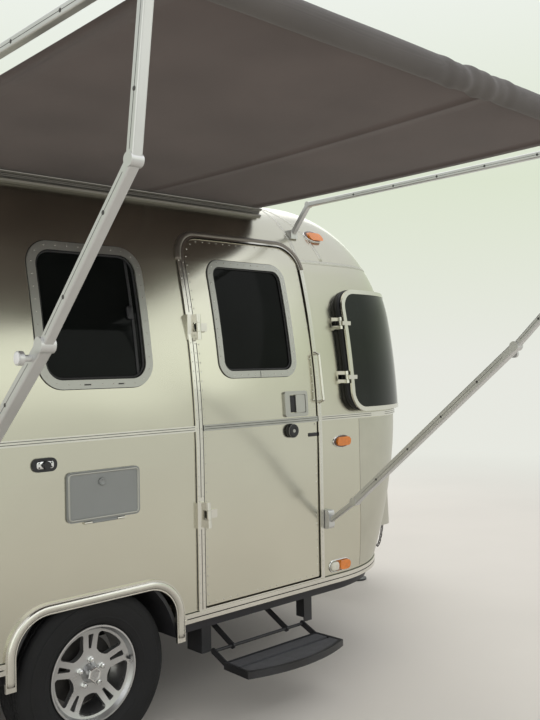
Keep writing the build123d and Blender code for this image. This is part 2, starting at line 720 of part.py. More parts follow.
fixed_leaves = []
moving_leaves = []
third = HINGE_H / 6
for z in HINGE_Z:
    wall_y = -skin_y(z)
    tab_y = (wall_y - HINGE_STAND_OFF, wall_y - PLATE_T + 6)
    plate_y = (wall_y - PLATE_T, wall_y + PLATE_T)
    fixed = slab(HINGE_X - FIXED_L, HINGE_X - TAB_L, *plate_y, z - HINGE_H / 2, z + HINGE_H / 2)
    for z0, z1 in ((z - 3 * third, z - third - KNUCKLE_GAP), (z + third + KNUCKLE_GAP, z + 3 * third)):
        fixed += rod(door_axis(z0), door_axis(z1), HINGE_R)
        fixed += slab(HINGE_X - TAB_L, HINGE_X, *tab_y, z0, z1)
    fixed += rod(door_axis(z - 2 * third), door_axis(z + 2 * third), HINGE_PIN_R)
    moving = rod(door_axis(z - third), door_axis(z + third), HINGE_R)
    moving += slab(HINGE_X, HINGE_X + TAB_L, *tab_y, z - third, z + third)
    moving += slab(HINGE_X + TAB_L, HINGE_X + MOVING_L, *plate_y, z - third, z + third)
    fixed_leaves.append(fixed - outer)
    moving -= rod(door_axis(z - 2 * third), door_axis(z + 2 * third), HINGE_PIN_R + PIN_GAP)
    moving_leaves.append(moving - outer)
door_brackets = joined(fixed_leaves)
pieces["door_hinge_leaves"] = joined(moving_leaves)

# Trim round the door opening, wide behind the hinges, down to the sill rail, in one piece with the belt
door_trim = (body_solid(-DOOR_TRIM_T) - outer) & door_trim_prism
door_trim = door_trim - door_opening - door_brackets
door_trim -= slab(-BIG, BIG, -BIG, 0, 0, RAIL_BEADS[1][1] + SEAT)
pieces["body_mouldings"] = body_belt + door_trim

# Door handle: paddle in a square frame, and the round lock below it
HANDLE_X = 1202.0
HANDLE_Z = 1468.0
HANDLE_HALF_L = 84.0
HANDLE_HALF_H = 66.0
HANDLE_T = 12.0
LOCK = (1160.0, 1330.0, 35.0, 24.0)
handle_layer = body_solid(-HANDLE_T) - outer
plate = handle_layer & side_prism(HANDLE_X, HANDLE_Z, HANDLE_HALF_L, HANDLE_HALF_H, 16, -1)
recess = side_prism(HANDLE_X + 10, HANDLE_Z, HANDLE_HALF_L - 26, HANDLE_HALF_H - 18, 8, -1)
paddle = (body_solid(-HANDLE_T + 3) - outer) & side_prism(
    HANDLE_X + 32, HANDLE_Z, HANDLE_HALF_L - 50, HANDLE_HALF_H - 20, 6, -1
)
lock_x, lock_z, lock_r, lock_out = LOCK
lock_y = skin_y(lock_z)
lock = rod((lock_x, -lock_y + WALL / 2, lock_z), (lock_x, -lock_y - lock_out, lock_z), lock_r)
lock = lock - outer
pieces["door_handle"] = (plate - recess) + paddle + lock

# Service hatch leaf, laid over its opening and hinged below
HATCH_AXIS_Y = HALF_WIDTH + 7
HATCH_AXIS_Z = HATCH_Z - HATCH_HALF_H - 7
HATCH_BARREL_R = 5.5
HATCH_KNUCKLE_L = 60.0
leaf = slab(
    HATCH_X - HATCH_HALF_L, HATCH_X + HATCH_HALF_L, -HALF_WIDTH - HATCH_T, -HALF_WIDTH - SEAT,
    HATCH_Z - HATCH_HALF_H, HATCH_Z + HATCH_HALF_H
)
leaf = fillet(leaf.edges().filter_by(Axis.Y), HATCH_R)
hatch_ends = (HATCH_X - HATCH_KNUCKLE_L, HATCH_X + HATCH_KNUCKLE_L)
leaf += rod(
    (hatch_ends[0], -HATCH_AXIS_Y, HATCH_AXIS_Z),
    (hatch_ends[1], -HATCH_AXIS_Y, HATCH_AXIS_Z),
    HATCH_BARREL_R,
)
leaf += slab(*hatch_ends, -HATCH_AXIS_Y - 2, -HATCH_AXIS_Y + 2, HATCH_AXIS_Z, HATCH_AXIS_Z + 12)
pieces["service_hatch"] = leaf
knuckles = []
for start_x, end_x in ((-100, -62), (62, 100)):
    knuckle = rod(
        (HATCH_X + start_x, -HATCH_AXIS_Y, HATCH_AXIS_Z), (HATCH_X + end_x, -HATCH_AXIS_Y, HATCH_AXIS_Z),
        HATCH_BARREL_R
    )
    knuckle += slab(
        HATCH_X + start_x, HATCH_X + end_x, -HATCH_AXIS_Y, -HALF_WIDTH, HATCH_AXIS_Z - HATCH_BARREL_R,
        HATCH_AXIS_Z + HATCH_BARREL_R
    )
    knuckles.append(knuckle)
pieces["hinge_brackets"] = joined([door_brackets, *guard_brackets, *knuckles])

# Grab handle beside the door
GRAB_X = 1375.0
GRAB_LOW = 1462.0
GRAB_HIGH = 1742.0
GRAB_OUT = 42.0
GRAB_R = 8.0
grab = tube_run(
    (
        (GRAB_X, -skin_y(GRAB_LOW) + GRAB_R, GRAB_LOW),
        (GRAB_X, -skin_y(GRAB_LOW) - GRAB_OUT, GRAB_LOW + 20),
        (GRAB_X, -skin_y(GRAB_HIGH) - GRAB_OUT, GRAB_HIGH - 20),
        (GRAB_X, -skin_y(GRAB_HIGH) + GRAB_R, GRAB_HIGH),
    ),
    GRAB_R,
)
pieces["grab_handle"] = grab - outer - pieces["body_mouldings"]

# Catch that holds the open door
CATCH_X = -250.0
CATCH_Z = 1286.0
CATCH_OUT = 32.0
catch = rod((CATCH_X, -HALF_WIDTH + SKIN, CATCH_Z), (CATCH_X, -HALF_WIDTH - CATCH_OUT, CATCH_Z), 16)
catch_base = slab(CATCH_X - 55, CATCH_X + 55, -HALF_WIDTH - 9, -HALF_WIDTH, CATCH_Z - 28, CATCH_Z + 28)
catch_base = fillet(catch_base.edges().filter_by(Axis.Y), 26)
pieces["door_catch"] = (catch + catch_base) - outer

# Service panels on the left wall: centre x, centre z, half length, half height
LEFT_PANELS = ((-300.0, 900.0, 210.0, 130.0), (680.0, 820.0, 90.0, 80.0), (980.0, 1120.0, 75.0, 75.0))
panel_prisms = [side_prism(x, z, half_l, half_h, 20, 1) for x, z, half_l, half_h in LEFT_PANELS]
pieces["left_service_panels"] = flange_layer & joined(panel_prisms)

# Awning rail on the roof's shoulder: base, web and a lip with the cord's slot
roll_y, roll_z = roll_centre()[:2]
lip_reach = hypot(AWNING_LIP_Y - roll_y, AWNING_LIP_Z - roll_z)
rail_plane = Plane(
    origin=(AWNING_REAR_X - 50, -AWNING_LIP_Y, AWNING_LIP_Z),
    x_dir=(0, -(AWNING_LIP_Z - roll_z) / lip_reach, -(AWNING_LIP_Y - roll_y) / lip_reach),
    z_dir=(1, 0, 0),
)
stand = lip_reach - CORNER_R
RAIL_BASE_W = 56.0
RAIL_BASE_T = 10.0
RAIL_WEB_T = 10.0
# The section's second axis points away from the roof or back to it, as its plane's own sense says
roof_sense = -1 if rail_plane.y_dir.Z > 0 else 1
web = Pos(0, roof_sense * stand / 2) * Rectangle(RAIL_WEB_T, stand + 10)
base = Pos(0, roof_sense * (stand - RAIL_BASE_T / 2 + 5)) * Rectangle(RAIL_BASE_W, RAIL_BASE_T + 10)
rail_section = Circle(AWNING_LIP_R) + web + base
rail = extrude(rail_plane * rail_section, amount=AWNING_FRONT_X - AWNING_REAR_X + 80)
rail = rail - outer


def fabric_sheet(thickness, inner_y):
    """Straight sheet from the rail's lip to the roller."""
    start = (-inner_y, AWNING_LIP_Z)
    end = (-AWNING_ROLLER_Y + AWNING_ROLLER_R + SEAT, AWNING_ROLLER_Z)
    with BuildSketch(Plane.YZ) as sketch:
        with BuildLine():
            Polyline(
                (start[0], start[1] - thickness / 2),
                (start[0], start[1] + thickness / 2),
                (end[0], end[1] + thickness / 2),
                (end[0], end[1] - thickness / 2),
                close=True,
            )
        make_face()
    return sketch.sketch


slot = extrude(fabric_sheet(FABRIC_T + 2 * SEAT, AWNING_LIP_Y), amount=BIG, both=True)
lip_bore = rod((-BIG, -AWNING_LIP_Y, AWNING_LIP_Z), (BIG, -AWNING_LIP_Y, AWNING_LIP_Z), AWNING_LIP_R / 2)
pieces["awning_rail"] = rail - slot - lip_bore
fabric_section = fabric_sheet(FABRIC_T, AWNING_LIP_Y + AWNING_LIP_R / 2)
fabric = extrude(fabric_section, amount=AWNING_FRONT_X - AWNING_REAR_X)
pieces["awning_fabric"] = Pos(AWNING_REAR_X, 0, 0) * fabric

# Roller between the ends of the two support arms
ARM_END = 40.0
HEAD_HALF = 39.0
pieces["awning_roller"] = rod(
    (AWNING_ARM_X[0] + ARM_END / 2 + SEAT, -AWNING_ROLLER_Y, AWNING_ROLLER_Z),
    (AWNING_ARM_X[1] - ARM_END / 2 - SEAT, -AWNING_ROLLER_Y, AWNING_ROLLER_Z),
    AWNING_ROLLER_R,
)

# Support arms: (outward y, z) of each bend, and the width of the tube from it
FOOT_Z = 840.0
ARM_PATH = (
    (HALF_WIDTH + 42, FOOT_Z, 26.0),
    (HALF_WIDTH + 210, FOOT_Z + 115, 38.0),
    (2380.0, 1740.0, 29.0),
    (2790.0, 2140.0, 29.0),
    (AWNING_ROLLER_Y - 8, AWNING_ROLLER_Z - HEAD_HALF, 29.0),
)
TUBE_CORNER = 5.0
CLAMP_T = 2.5
KNOB_AT = (2340.0, 1707.0)
# Rafters: (outward y, z) of each bend
RAFTER_ROOT_Z = 2405.0
RAFTER_PATH = (
    (skin_y(RAFTER_ROOT_Z) + 28, RAFTER_ROOT_Z),
    (skin_y(RAFTER_ROOT_Z) + 150, AWNING_LIP_Z + 3),
    (AWNING_ROLLER_Y - HEAD_HALF - 11, AWNING_ROLLER_Z + 2),
)
RAFTER_W = 27.0
arms = []
rafters = []
for x in AWNING_ARM_X:
    arm = slab(x - 22, x + 22, -HALF_WIDTH - 42, -HALF_WIDTH, FOOT_Z - 50, FOOT_Z + 50)
    arm = fillet(arm.edges().filter_by(Axis.X).sort_by(Axis.Y)[:2], 18)
    for (y0, z0, width), (y1, z1, next_width) in zip(ARM_PATH[:-1], ARM_PATH[1:]):
        arm += box_tube(x, (-y0, z0), (-y1, z1), width, TUBE_CORNER)
        joint_r = max(width, next_width) / 2 + CLAMP_T
        arm += rod((x - joint_r, -y1, z1), (x + joint_r, -y1, z1), joint_r)
    head = slab(
        x - ARM_END / 2, x + ARM_END / 2, -AWNING_ROLLER_Y - HEAD_HALF, -AWNING_ROLLER_Y + HEAD_HALF,
        AWNING_ROLLER_Z - HEAD_HALF - 10, AWNING_ROLLER_Z + HEAD_HALF
    )
    arm += fillet(head.edges().filter_by(Axis.X), 16)
    outward = -1 if x < 0 else 1
    arm += rod((x, -KNOB_AT[0], KNOB_AT[1]), (x + outward * 52, -KNOB_AT[0], KNOB_AT[1]), 9)
    arm += rod((x + outward * 44, -KNOB_AT[0], KNOB_AT[1]), (x + outward * 58, -KNOB_AT[0], KNOB_AT[1]), 19)
    arms.append(arm)
    rafter = None
    for (y0, z0), (y1, z1) in zip(RAFTER_PATH[:-1], RAFTER_PATH[1:]):
        run = box_tube(x, (-y0, z0), (-y1, z1), RAFTER_W, TUBE_CORNER)
        rafter = run if rafter is None else rafter + run
    bend_y, bend_z = RAFTER_PATH[1]
    clamp_r = RAFTER_W / 2 + CLAMP_T
    rafter += rod((x - clamp_r, -bend_y, bend_z), (x + clamp_r, -bend_y, bend_z), clamp_r)
    root_y, root_z = RAFTER_PATH[0]
    rafter += slab(x - 25, x + 25, -root_y - 8, -root_y + 60, root_z - 34, root_z + 14)
    rafters.append(rafter - outer)
pieces["awning_arms"] = joined(arms)
pieces["awning_rafters"] = joined(rafters)

# Tow coupler over the tongue's end, with its ball socket, dome and latch lever
coupler_top = BALL_HEIGHT + COUPLER_H
coupler_low = BALL_HEIGHT - COUPLER_LIP
coupler = slab(BALL_X - COUPLER_L, BALL_X, -COUPLER_HALF_W, COUPLER_HALF_W, coupler_low, coupler_top - 18)
coupler += rod((BALL_X, 0, coupler_low), (BALL_X, 0, coupler_top - 18), COUPLER_HALF_W)
coupler += Pos(BALL_X, 0, coupler_top - 46) * Sphere(46)
coupler -= slab(BALL_X - 60, BALL_X + 60, -60, 60, 0, coupler_low)
coupler += slab(BALL_X - 150, BALL_X - 34, -9, 9, coupler_top - 20, coupler_top + 12)
coupler -= chassis
coupler -= rod((BALL_X, 0, coupler_low - 5), (BALL_X, 0, BALL_HEIGHT + SOCKET_DEPTH), BALL_R)
pieces["coupler"] = coupler

# Tongue jack: outer tube with its motor head, and the inner leg with foot
HEAD_R = 52.0
HEAD_H = 120.0
FOOT_R = 75.0
FOOT_T = 12.0
jack = rod((JACK_X, 0, 330), (JACK_X, 0, JACK_TOP_Z), JACK_TUBE_R)
jack_head = rod((JACK_X, 0, JACK_TOP_Z), (JACK_X, 0, JACK_TOP_Z + HEAD_H), HEAD_R)
jack_head = fillet(jack_head.edges(), 10)
jack = jack + jack_head
jack -= rod((JACK_X, 0, 300), (JACK_X, 0, JACK_TOP_Z - 20), JACK_LEG_R + PIN_GAP)
pieces["jack_tube"] = jack
pieces["jack_leg"] = rod((JACK_X, 0, FOOT_T), (JACK_X, 0, 630), JACK_LEG_R) + rod(
    (JACK_X, 0, 0), (JACK_X, 0, FOOT_T), FOOT_R
)

# Safety chains that hang from pins on the tongue's end
LINK_L = 38.0
LINK_W = 24.0
LINK_BAR = 7.0
LINKS = 8
PIN_X = BALL_X - 140
PIN_Z = 440.0
EYE_R = 4.5
PIN_L = 40.0
PIN_HEAD_R = 10.0
PIN_LINK_Y = 26.0
LINK_PITCH = LINK_L - 2 * LINK_BAR - SEAT


def chain_link():
    """Upright chain link from flat bar with cut corners."""
    ring = chamfer(Rectangle(LINK_W, LINK_L).vertices(), LINK_W * 0.3)
    hole = chamfer(Rectangle(LINK_W - 2 * LINK_BAR, LINK_L - 2 * LINK_BAR).vertices(), LINK_BAR * 0.4)
    return extrude(Plane.XZ * (ring - hole), amount=LINK_BAR / 2, both=True)


chains = []
for side, word in SIDES:
    block_y = side * TONGUE_BLOCK_W / 2
    pin_y = block_y + side * PIN_LINK_Y
    head = (block_y + side * (PIN_L - 4), block_y + side * (PIN_L + 2))
    eye = rod((PIN_X, block_y, PIN_Z), (PIN_X, block_y + side * PIN_L, PIN_Z), EYE_R)
    eye += rod((PIN_X, head[0], PIN_Z), (PIN_X, head[1], PIN_Z), PIN_HEAD_R)
    chains.append(eye - chassis)
    link_z = PIN_Z + EYE_R + SEAT - (LINK_L / 2 - LINK_BAR)
    for index in range(LINKS):
        turn = Rot(0, 0, 90 * (index % 2))
        chains.append(Pos(PIN_X, pin_y, link_z - index * LINK_PITCH) * turn * chain_link())
pieces["safety_chains"] = joined(chains)

# Cover of the gas bottles on the A-frame, a little narrower at the top
COVER_X = (2520.0, 2978.0)
COVER_HALF_W = 448.0
COVER_H = 555.0
COVER_R = 110.0
COVER_TAPER = 2.0
COVER_EDGE_R = 50.0
cover_mid = (COVER_X[0] + COVER_X[1]) / 2
cover_sketch = RectangleRounded(COVER_X[1] - COVER_X[0], 2 * COVER_HALF_W, COVER_R)
cover = extrude(Pos(cover_mid, 0, SILL_Z) * cover_sketch, amount=COVER_H, taper=COVER_TAPER)
cover = fillet(cover.faces().sort_by(Axis.Z)[-1].edges(), COVER_EDGE_R)
pieces["gas_bottle_cover"] = cover

# Rear bumper on brackets from the rails
BUMPER_X = REAR_X - 95
BUMPER_HALF_D = 35.0
BUMPER_HALF_W = 980.0
BUMPER_Z = (440.0, 540.0)
bumper = slab(BUMPER_X - BUMPER_HALF_D, BUMPER_X + BUMPER_HALF_D, -BUMPER_HALF_W, BUMPER_HALF_W, *BUMPER_Z)
bumper = fillet(bumper.edges().filter_by(Axis.Z), 30)
for side, word in SIDES:
    bumper += slab(
        BUMPER_X, SILL_REAR_X + CROSS_W, side * RAIL_Y - RAIL_W / 2, side * RAIL_Y + RAIL_W / 2,
        BUMPER_Z[0], RAIL_BEADS[0][0] - SEAT
    )
pieces["rear_bumper"] = bumper - belly

# Lamps stand out of the skin in one layer
LAMP_T = 20.0
lamp_layer = body_solid(-LAMP_T) - outer
TAIL_LAMP = (900.0, 1000.0, 92.0, 62.0, 30.0)
tail_y, tail_z, tail_l, tail_h, tail_r = TAIL_LAMP
tails = [end_prism(side * tail_y, tail_z, tail_l, tail_h, tail_r, -1, 700.0) for side, word in SIDES]
pieces["tail_lamps"] = lamp_layer & joined(tails)
# Amber lamps: centre x, centre z, half length, half height
AMBER_LAMPS = ((1552.0, 1248.0, 54.0, 24.0), (1545.0, 574.0, 42.0, 25.0), (1596.0, 2400.0, 54.0, 24.0))
amber = []
for side, word in SIDES:
    for x, z, half_l, half_h in AMBER_LAMPS:
        amber.append(side_prism(x, z, half_l, half_h, half_h - 1, side, 500.0))
pieces["marker_lamps"] = lamp_layer & joined(amber)

# Air conditioner: sloping shroud with intake slots in its rear
AC_X = (50.0, 950.0)
AC_HALF_W = 340.0
AC_H = 235.0
AC_SLOTS = 6
with BuildSketch(Plane.XZ) as ac_sketch:
    with BuildLine():
        Polyline(
            (AC_X[0], ROOF_Z),
            (AC_X[0], ROOF_Z + 150),
            (AC_X[0] + 90, ROOF_Z + AC_H),
            (AC_X[0] + 460, ROOF_Z + AC_H),
            (AC_X[1] - 60, ROOF_Z + 120),
            (AC_X[1], ROOF_Z),
            close=True,
        )
    make_face()
ac = extrude(ac_sketch.sketch, amount=AC_HALF_W, both=True)
ac = fillet(ac.edges().filter_by(Axis.Y).sort_by(Axis.Z)[-4:], 40)
for index in range(AC_SLOTS):
    y = (index - (AC_SLOTS - 1) / 2) * 90
    ac -= slab(AC_X[0] - 5, AC_X[0] + 25, y - 32, y + 32, ROOF_Z + 40, ROOF_Z + 130)
pieces["air_conditioner"] = ac

# Roof vent with a lid hinged at its rear
VENT_X = -230.0
VENT_HALF = 210.0
VENT_H = 45.0
VENT_AXIS_X = VENT_X - VENT_HALF - 16
VENT_AXIS_Z = ROOF_Z + VENT_H + 11
VENT_BARREL_R = 7.0
VENT_KNUCKLE_Y = 155.0
vent = slab(VENT_X - VENT_HALF, VENT_X + VENT_HALF, -VENT_HALF, VENT_HALF, ROOF_Z, ROOF_Z + VENT_H)
vent -= slab(
    VENT_X - VENT_HALF + 30, VENT_X + VENT_HALF - 30, -VENT_HALF + 30, VENT_HALF - 30, ROOF_Z - 5,
    ROOF_Z + VENT_H + 5
)
for side, word in SIDES:
    y0 = side * (VENT_KNUCKLE_Y + 5)
    y1 = side * (VENT_KNUCKLE_Y + 35)
    vent += slab(VENT_AXIS_X - 6, VENT_X - VENT_HALF + 5, y0, y1, ROOF_Z + 20, ROOF_Z + VENT_H - 1)
    vent += slab(VENT_AXIS_X - 6, VENT_AXIS_X + 6, y0, y1, ROOF_Z + 20, VENT_AXIS_Z)
    vent += rod((VENT_AXIS_X, y0, VENT_AXIS_Z), (VENT_AXIS_X, y1, VENT_AXIS_Z), VENT_BARREL_R)
pieces["roof_vent_base"] = vent
LID_H = 50.0
lid = slab(
    VENT_X - VENT_HALF - 2, VENT_X + VENT_HALF + 10, -VENT_HALF - 10, VENT_HALF + 10,
    ROOF_Z + VENT_H + SEAT, ROOF_Z + VENT_H + LID_H
)
lid = fillet(lid.edges().filter_by(Axis.Z), 45)
lid = fillet(lid.faces().sort_by(Axis.Z)[-1].edges(), 15)
lid += rod(
    (VENT_AXIS_X, -VENT_KNUCKLE_Y, VENT_AXIS_Z), (VENT_AXIS_X, VENT_KNUCKLE_Y, VENT_AXIS_Z), VENT_BARREL_R
)
lid += slab(
    VENT_AXIS_X, VENT_X - VENT_HALF + 20, -VENT_KNUCKLE_Y, VENT_KNUCKLE_Y, VENT_AXIS_Z - 5, VENT_AXIS_Z + 6
)
pieces["roof_vent_lid"] = lid

# Entry step: posts below the sill, ears below the belly, links, and a framed tread
POST_W = 58.0
POST_DEPTH = 112.0
POST_T = 6.0
POST_OUT_X = 378.0
POST_LOW_Z = 300.0
LINK_X = 185.0
LINK_HALF_T = 5.0
LINK_EYE_R = 16.0
EAR_T = 6.0
EAR_HALF_W = 28.0
posts = []
for side in (-1, 1):
    x_out = STEP_X + side * POST_OUT_X
    x_in = x_out - side * POST_W
    post = slab(x_out, x_in, -STEP_TREAD_Y, -STEP_TREAD_Y + POST_T, POST_LOW_Z, SILL_Z)
    post += slab(x_out, x_out - side * POST_T, -STEP_TREAD_Y, -STEP_TREAD_Y + POST_DEPTH, POST_LOW_Z, SILL_Z)
    posts.append(post - belly)
    ear_x = STEP_X + side * (LINK_X + LINK_HALF_T + 1)
    ear = slab(
        ear_x, ear_x + side * EAR_T, -STEP_PIVOT_Y - EAR_HALF_W, -STEP_PIVOT_Y + EAR_HALF_W,
        STEP_PIVOT_Z - LINK_EYE_R, BELLY_LOW
    )
    ear -= rod(
        (ear_x - 20, -STEP_PIVOT_Y, STEP_PIVOT_Z), (ear_x + 20, -STEP_PIVOT_Y, STEP_PIVOT_Z), STEP_PIN_R
    )
    posts.append(ear)
pieces["step_bracket"] = joined(posts)

link_rise = degrees(atan2(STEP_TREAD_Z - STEP_PIVOT_Z, STEP_PIVOT_Y - STEP_TREAD_Y))
link_run = hypot(STEP_TREAD_Z - STEP_PIVOT_Z, STEP_TREAD_Y - STEP_PIVOT_Y)
link_mid = (-(STEP_PIVOT_Y + STEP_TREAD_Y) / 2, (STEP_PIVOT_Z + STEP_TREAD_Z) / 2)
links = []
for side in (-1, 1):
    x = STEP_X + side * LINK_X
    link = Pos(x, *link_mid) * Rot(link_rise, 0, 0) * Box(2 * LINK_HALF_T, link_run, 2 * LINK_EYE_R - 4)
    for y, z in ((-STEP_PIVOT_Y, STEP_PIVOT_Z), (-STEP_TREAD_Y, STEP_TREAD_Z)):
        link += rod((x - LINK_HALF_T, y, z), (x + LINK_HALF_T, y, z), LINK_EYE_R)
    pin_end = x + side * (LINK_HALF_T + 1 + EAR_T)
    link += rod(
        (x, -STEP_PIVOT_Y, STEP_PIVOT_Z), (pin_end, -STEP_PIVOT_Y, STEP_PIVOT_Z), STEP_PIN_R - PIN_GAP
    )
    link -= rod((x - 20, -STEP_TREAD_Y, STEP_TREAD_Z), (x + 20, -STEP_TREAD_Y, STEP_TREAD_Z), STEP_PIN_R)
    links.append(link)
cross_y = -STEP_PIVOT_Y - 45
cross_z = STEP_PIVOT_Z - 45 * (STEP_PIVOT_Z - STEP_TREAD_Z) / (STEP_TREAD_Y - STEP_PIVOT_Y)
links.append(rod((STEP_X - LINK_X, cross_y, cross_z), (STEP_X + LINK_X, cross_y, cross_z), 10))
pieces["step_arms"] = joined(links)


def tread_outline(inset):
    """Plan of the tread, straight at the back and bowed at the front."""
    back = -TREAD_BACK_Y - inset
    half_back = TREAD_HALF_L - 8 - inset
    half_front = TREAD_HALF_L - inset
    corner_y = -TREAD_CORNER_Y + inset
    with BuildSketch() as plan:
        with BuildLine():
            Line((STEP_X - half_back, back), (STEP_X - half_front, corner_y))
            ThreePointArc(
                (STEP_X - half_front, corner_y),
                (STEP_X, -TREAD_NOSE_Y + inset),
                (STEP_X + half_front, corner_y),
            )
            Line((STEP_X + half_front, corner_y), (STEP_X + half_back, back))
            Line((STEP_X + half_back, back), (STEP_X - half_back, back))
        make_face()
    return plan.sketch


TREAD_RIM = 16.0
PAD_POCKET = 12.0
PAD_H = 10.0
PAD_SPLIT_Y = 1352.0
PAD_SPLIT = 22.0
SIDE_ARM_X = 302.0
SIDE_ARM_T = 8.0
SIDE_ARM_HALF_H = 16.0
tray_low = TREAD_Z - TREAD_H / 2
tray_top = TREAD_Z + TREAD_H / 2
tray = extrude(Pos(0, 0, tray_low) * tread_outline(0), amount=TREAD_H)
pocket = extrude(Pos(0, 0, tray_top - PAD_POCKET) * tread_outline(TREAD_RIM), amount=PAD_POCKET)
tread_parts = [tray - pocket]
for side in (-1, 1):
    x = STEP_X + side * SIDE_ARM_X
    side_plane = Plane(origin=(x, 0, 0), x_dir=(0, 1, 0), z_dir=(1, 0, 0))
    plate = Polyline(
        (-STEP_TREAD_Y, STEP_TREAD_Z + SIDE_ARM_HALF_H),
        (-TREAD_BACK_Y - TREAD_RIM, tray_top),
        (-TREAD_BACK_Y - TREAD_RIM, tray_low),
        (-STEP_TREAD_Y, STEP_TREAD_Z - SIDE_ARM_HALF_H),
        close=True,
    )
    arm = extrude(side_plane * make_face(plate), amount=side * SIDE_ARM_T)
    arm += rod(
        (x, -STEP_TREAD_Y, STEP_TREAD_Z),
        (x + side * SIDE_ARM_T, -STEP_TREAD_Y, STEP_TREAD_Z),
        SIDE_ARM_HALF_H,
    )
    tread_parts.append(arm)
tread_parts.append(
    rod(
        (STEP_X - SIDE_ARM_X, -STEP_TREAD_Y, STEP_TREAD_Z),
        (STEP_X + SIDE_ARM_X, -STEP_TREAD_Y, STEP_TREAD_Z),
        STEP_PIN_R - PIN_GAP,
    )
)
pieces["step_tread"] = joined(tread_parts)
pads = extrude(Pos(0, 0, tray_top - PAD_POCKET) * tread_outline(TREAD_RIM), amount=PAD_H)
pads -= slab(-BIG, BIG, -PAD_SPLIT_Y - PAD_SPLIT / 2, -PAD_SPLIT_Y + PAD_SPLIT / 2, 0, BIG)
pieces["step_tread_pads"] = pads

# Rear stabiliser legs, stowed, in forks below the belly
LEG_HINGE_X = -1240.0
LEG_Z = 388.0
LEG_Y = 700.0
LEG_L = 400.0
LEG_HALF_W = 20.0
FORK_HALF_L = 30.0
forks = []
for side, word in SIDES:
    y = side * LEG_Y
    for fork_side in (-1, 1):
        fork = slab(
            LEG_HINGE_X - FORK_HALF_L, LEG_HINGE_X + FORK_HALF_L, y + fork_side * 26, y + fork_side * 34,
            LEG_Z - LEG_HALF_W, BELLY_LOW
        )
        forks.append(fork - rod((LEG_HINGE_X, y - 50, LEG_Z), (LEG_HINGE_X, y + 50, LEG_Z), STEP_PIN_R))
    leg = slab(LEG_HINGE_X, LEG_HINGE_X + LEG_L, y - LEG_HALF_W, y + LEG_HALF_W, LEG_Z - 15, LEG_Z + 15)
    leg += rod((LEG_HINGE_X, y - LEG_HALF_W, LEG_Z), (LEG_HINGE_X, y + LEG_HALF_W, LEG_Z), 15)
    leg += rod((LEG_HINGE_X, y - 36, LEG_Z), (LEG_HINGE_X, y + 36, LEG_Z), STEP_PIN_R - PIN_GAP)
    leg += slab(LEG_HINGE_X + LEG_L - 10, LEG_HINGE_X + LEG_L, y - 50, y + 50, LEG_Z - 40, LEG_Z + 30)
    pieces["stabiliser_leg_" + word] = leg
pieces["chassis_frame"] = pieces["chassis_frame"] + joined(forks)

# Write one file for each piece, with the origin at the ball socket
for node, piece in pieces.items():
    solids = piece.solids()
    moved = [Pos(-BALL_X, 0, -BALL_HEIGHT) * solid for solid in solids]
    shape = moved[0] if len(moved) == 1 else Compound(children=moved)
    export_step(shape, "parts/" + node + ".step")
    litres = sum(solid.volume for solid in moved) / 1e6
    print(node, len(moved), round(litres, 3), "litres")
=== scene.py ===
from math import ceil, cos, hypot, pi, radians, sin

import bmesh
import bpy
from mathutils import Matrix, Vector
from mathutils.bvhtree import BVHTree


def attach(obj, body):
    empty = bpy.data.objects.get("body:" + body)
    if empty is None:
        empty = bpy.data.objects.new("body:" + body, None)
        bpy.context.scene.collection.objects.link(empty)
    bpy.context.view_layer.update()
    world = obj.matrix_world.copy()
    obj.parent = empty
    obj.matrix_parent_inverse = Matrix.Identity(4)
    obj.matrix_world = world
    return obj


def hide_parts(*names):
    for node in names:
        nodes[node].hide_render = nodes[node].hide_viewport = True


# Places are in millimetres ahead of the axle, to the left and above the ground, and sections in metres
BALL_X = 3320.0
BALL_HEIGHT = 470.0

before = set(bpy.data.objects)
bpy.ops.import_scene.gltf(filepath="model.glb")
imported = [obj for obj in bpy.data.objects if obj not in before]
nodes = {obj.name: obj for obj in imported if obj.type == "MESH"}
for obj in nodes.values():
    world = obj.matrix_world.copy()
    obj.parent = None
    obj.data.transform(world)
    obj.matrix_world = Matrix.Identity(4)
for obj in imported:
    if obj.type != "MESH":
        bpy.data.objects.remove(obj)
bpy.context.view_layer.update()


def at(x, y, z):
    """Point in the row frame, in metres, from a place in millimetres."""
    return Vector(((x - BALL_X) / 1000, y / 1000, (z - BALL_HEIGHT) / 1000))


# Materials
NOISE_DETAIL = 3.0
NOISE_RANGE = (0.3, 0.7)
# Directions and closeness of the sheet metal's shallow waves, and their depth in metres
SWELLS = ((8.0, 6.0, 3.5), (-4.5, 5.0, 7.5))
SWELL_DEPTH = 0.002


def add_node(tree, kind, inputs=None, **settings):
    """A shader node with its settings, and with a link or a value at each input that is named."""
    node = tree.nodes.new(kind)
    for name, value in settings.items():
        setattr(node, name, value)
    for name, value in (inputs or {}).items():
        if isinstance(value, bpy.types.NodeSocket):
            tree.links.new(value, node.inputs[name])
        else:
            node.inputs[name].default_value = value
    return node


def new_tree(name):
    """An empty node material with its tree and the object's coordinates."""
    mat = bpy.data.materials.new(name)
    mat.use_nodes = True
    tree = mat.node_tree
    tree.nodes.clear()
    return mat, tree, add_node(tree, "ShaderNodeTexCoord").outputs["Object"]


def add_shader(tree, inputs):
    """The shader of a material, joined to its output."""
    shader = add_node(tree, "ShaderNodeBsdfPrincipled", inputs)
    add_node(tree, "ShaderNodeOutputMaterial", {"Surface": shader.outputs["BSDF"]})


def noise_node(tree, coords, scale, stretch=(1.0, 1.0, 1.0)):
    """Noise in the row frame's metres, stretched along the axes."""
    mapping = add_node(tree, "ShaderNodeMapping", {"Vector": coords, "Scale": stretch})
    inputs = {"Vector": mapping.outputs["Vector"], "Scale": scale, "Detail": NOISE_DETAIL}
    return add_node(tree, "ShaderNodeTexNoise", inputs).outputs["Fac"]


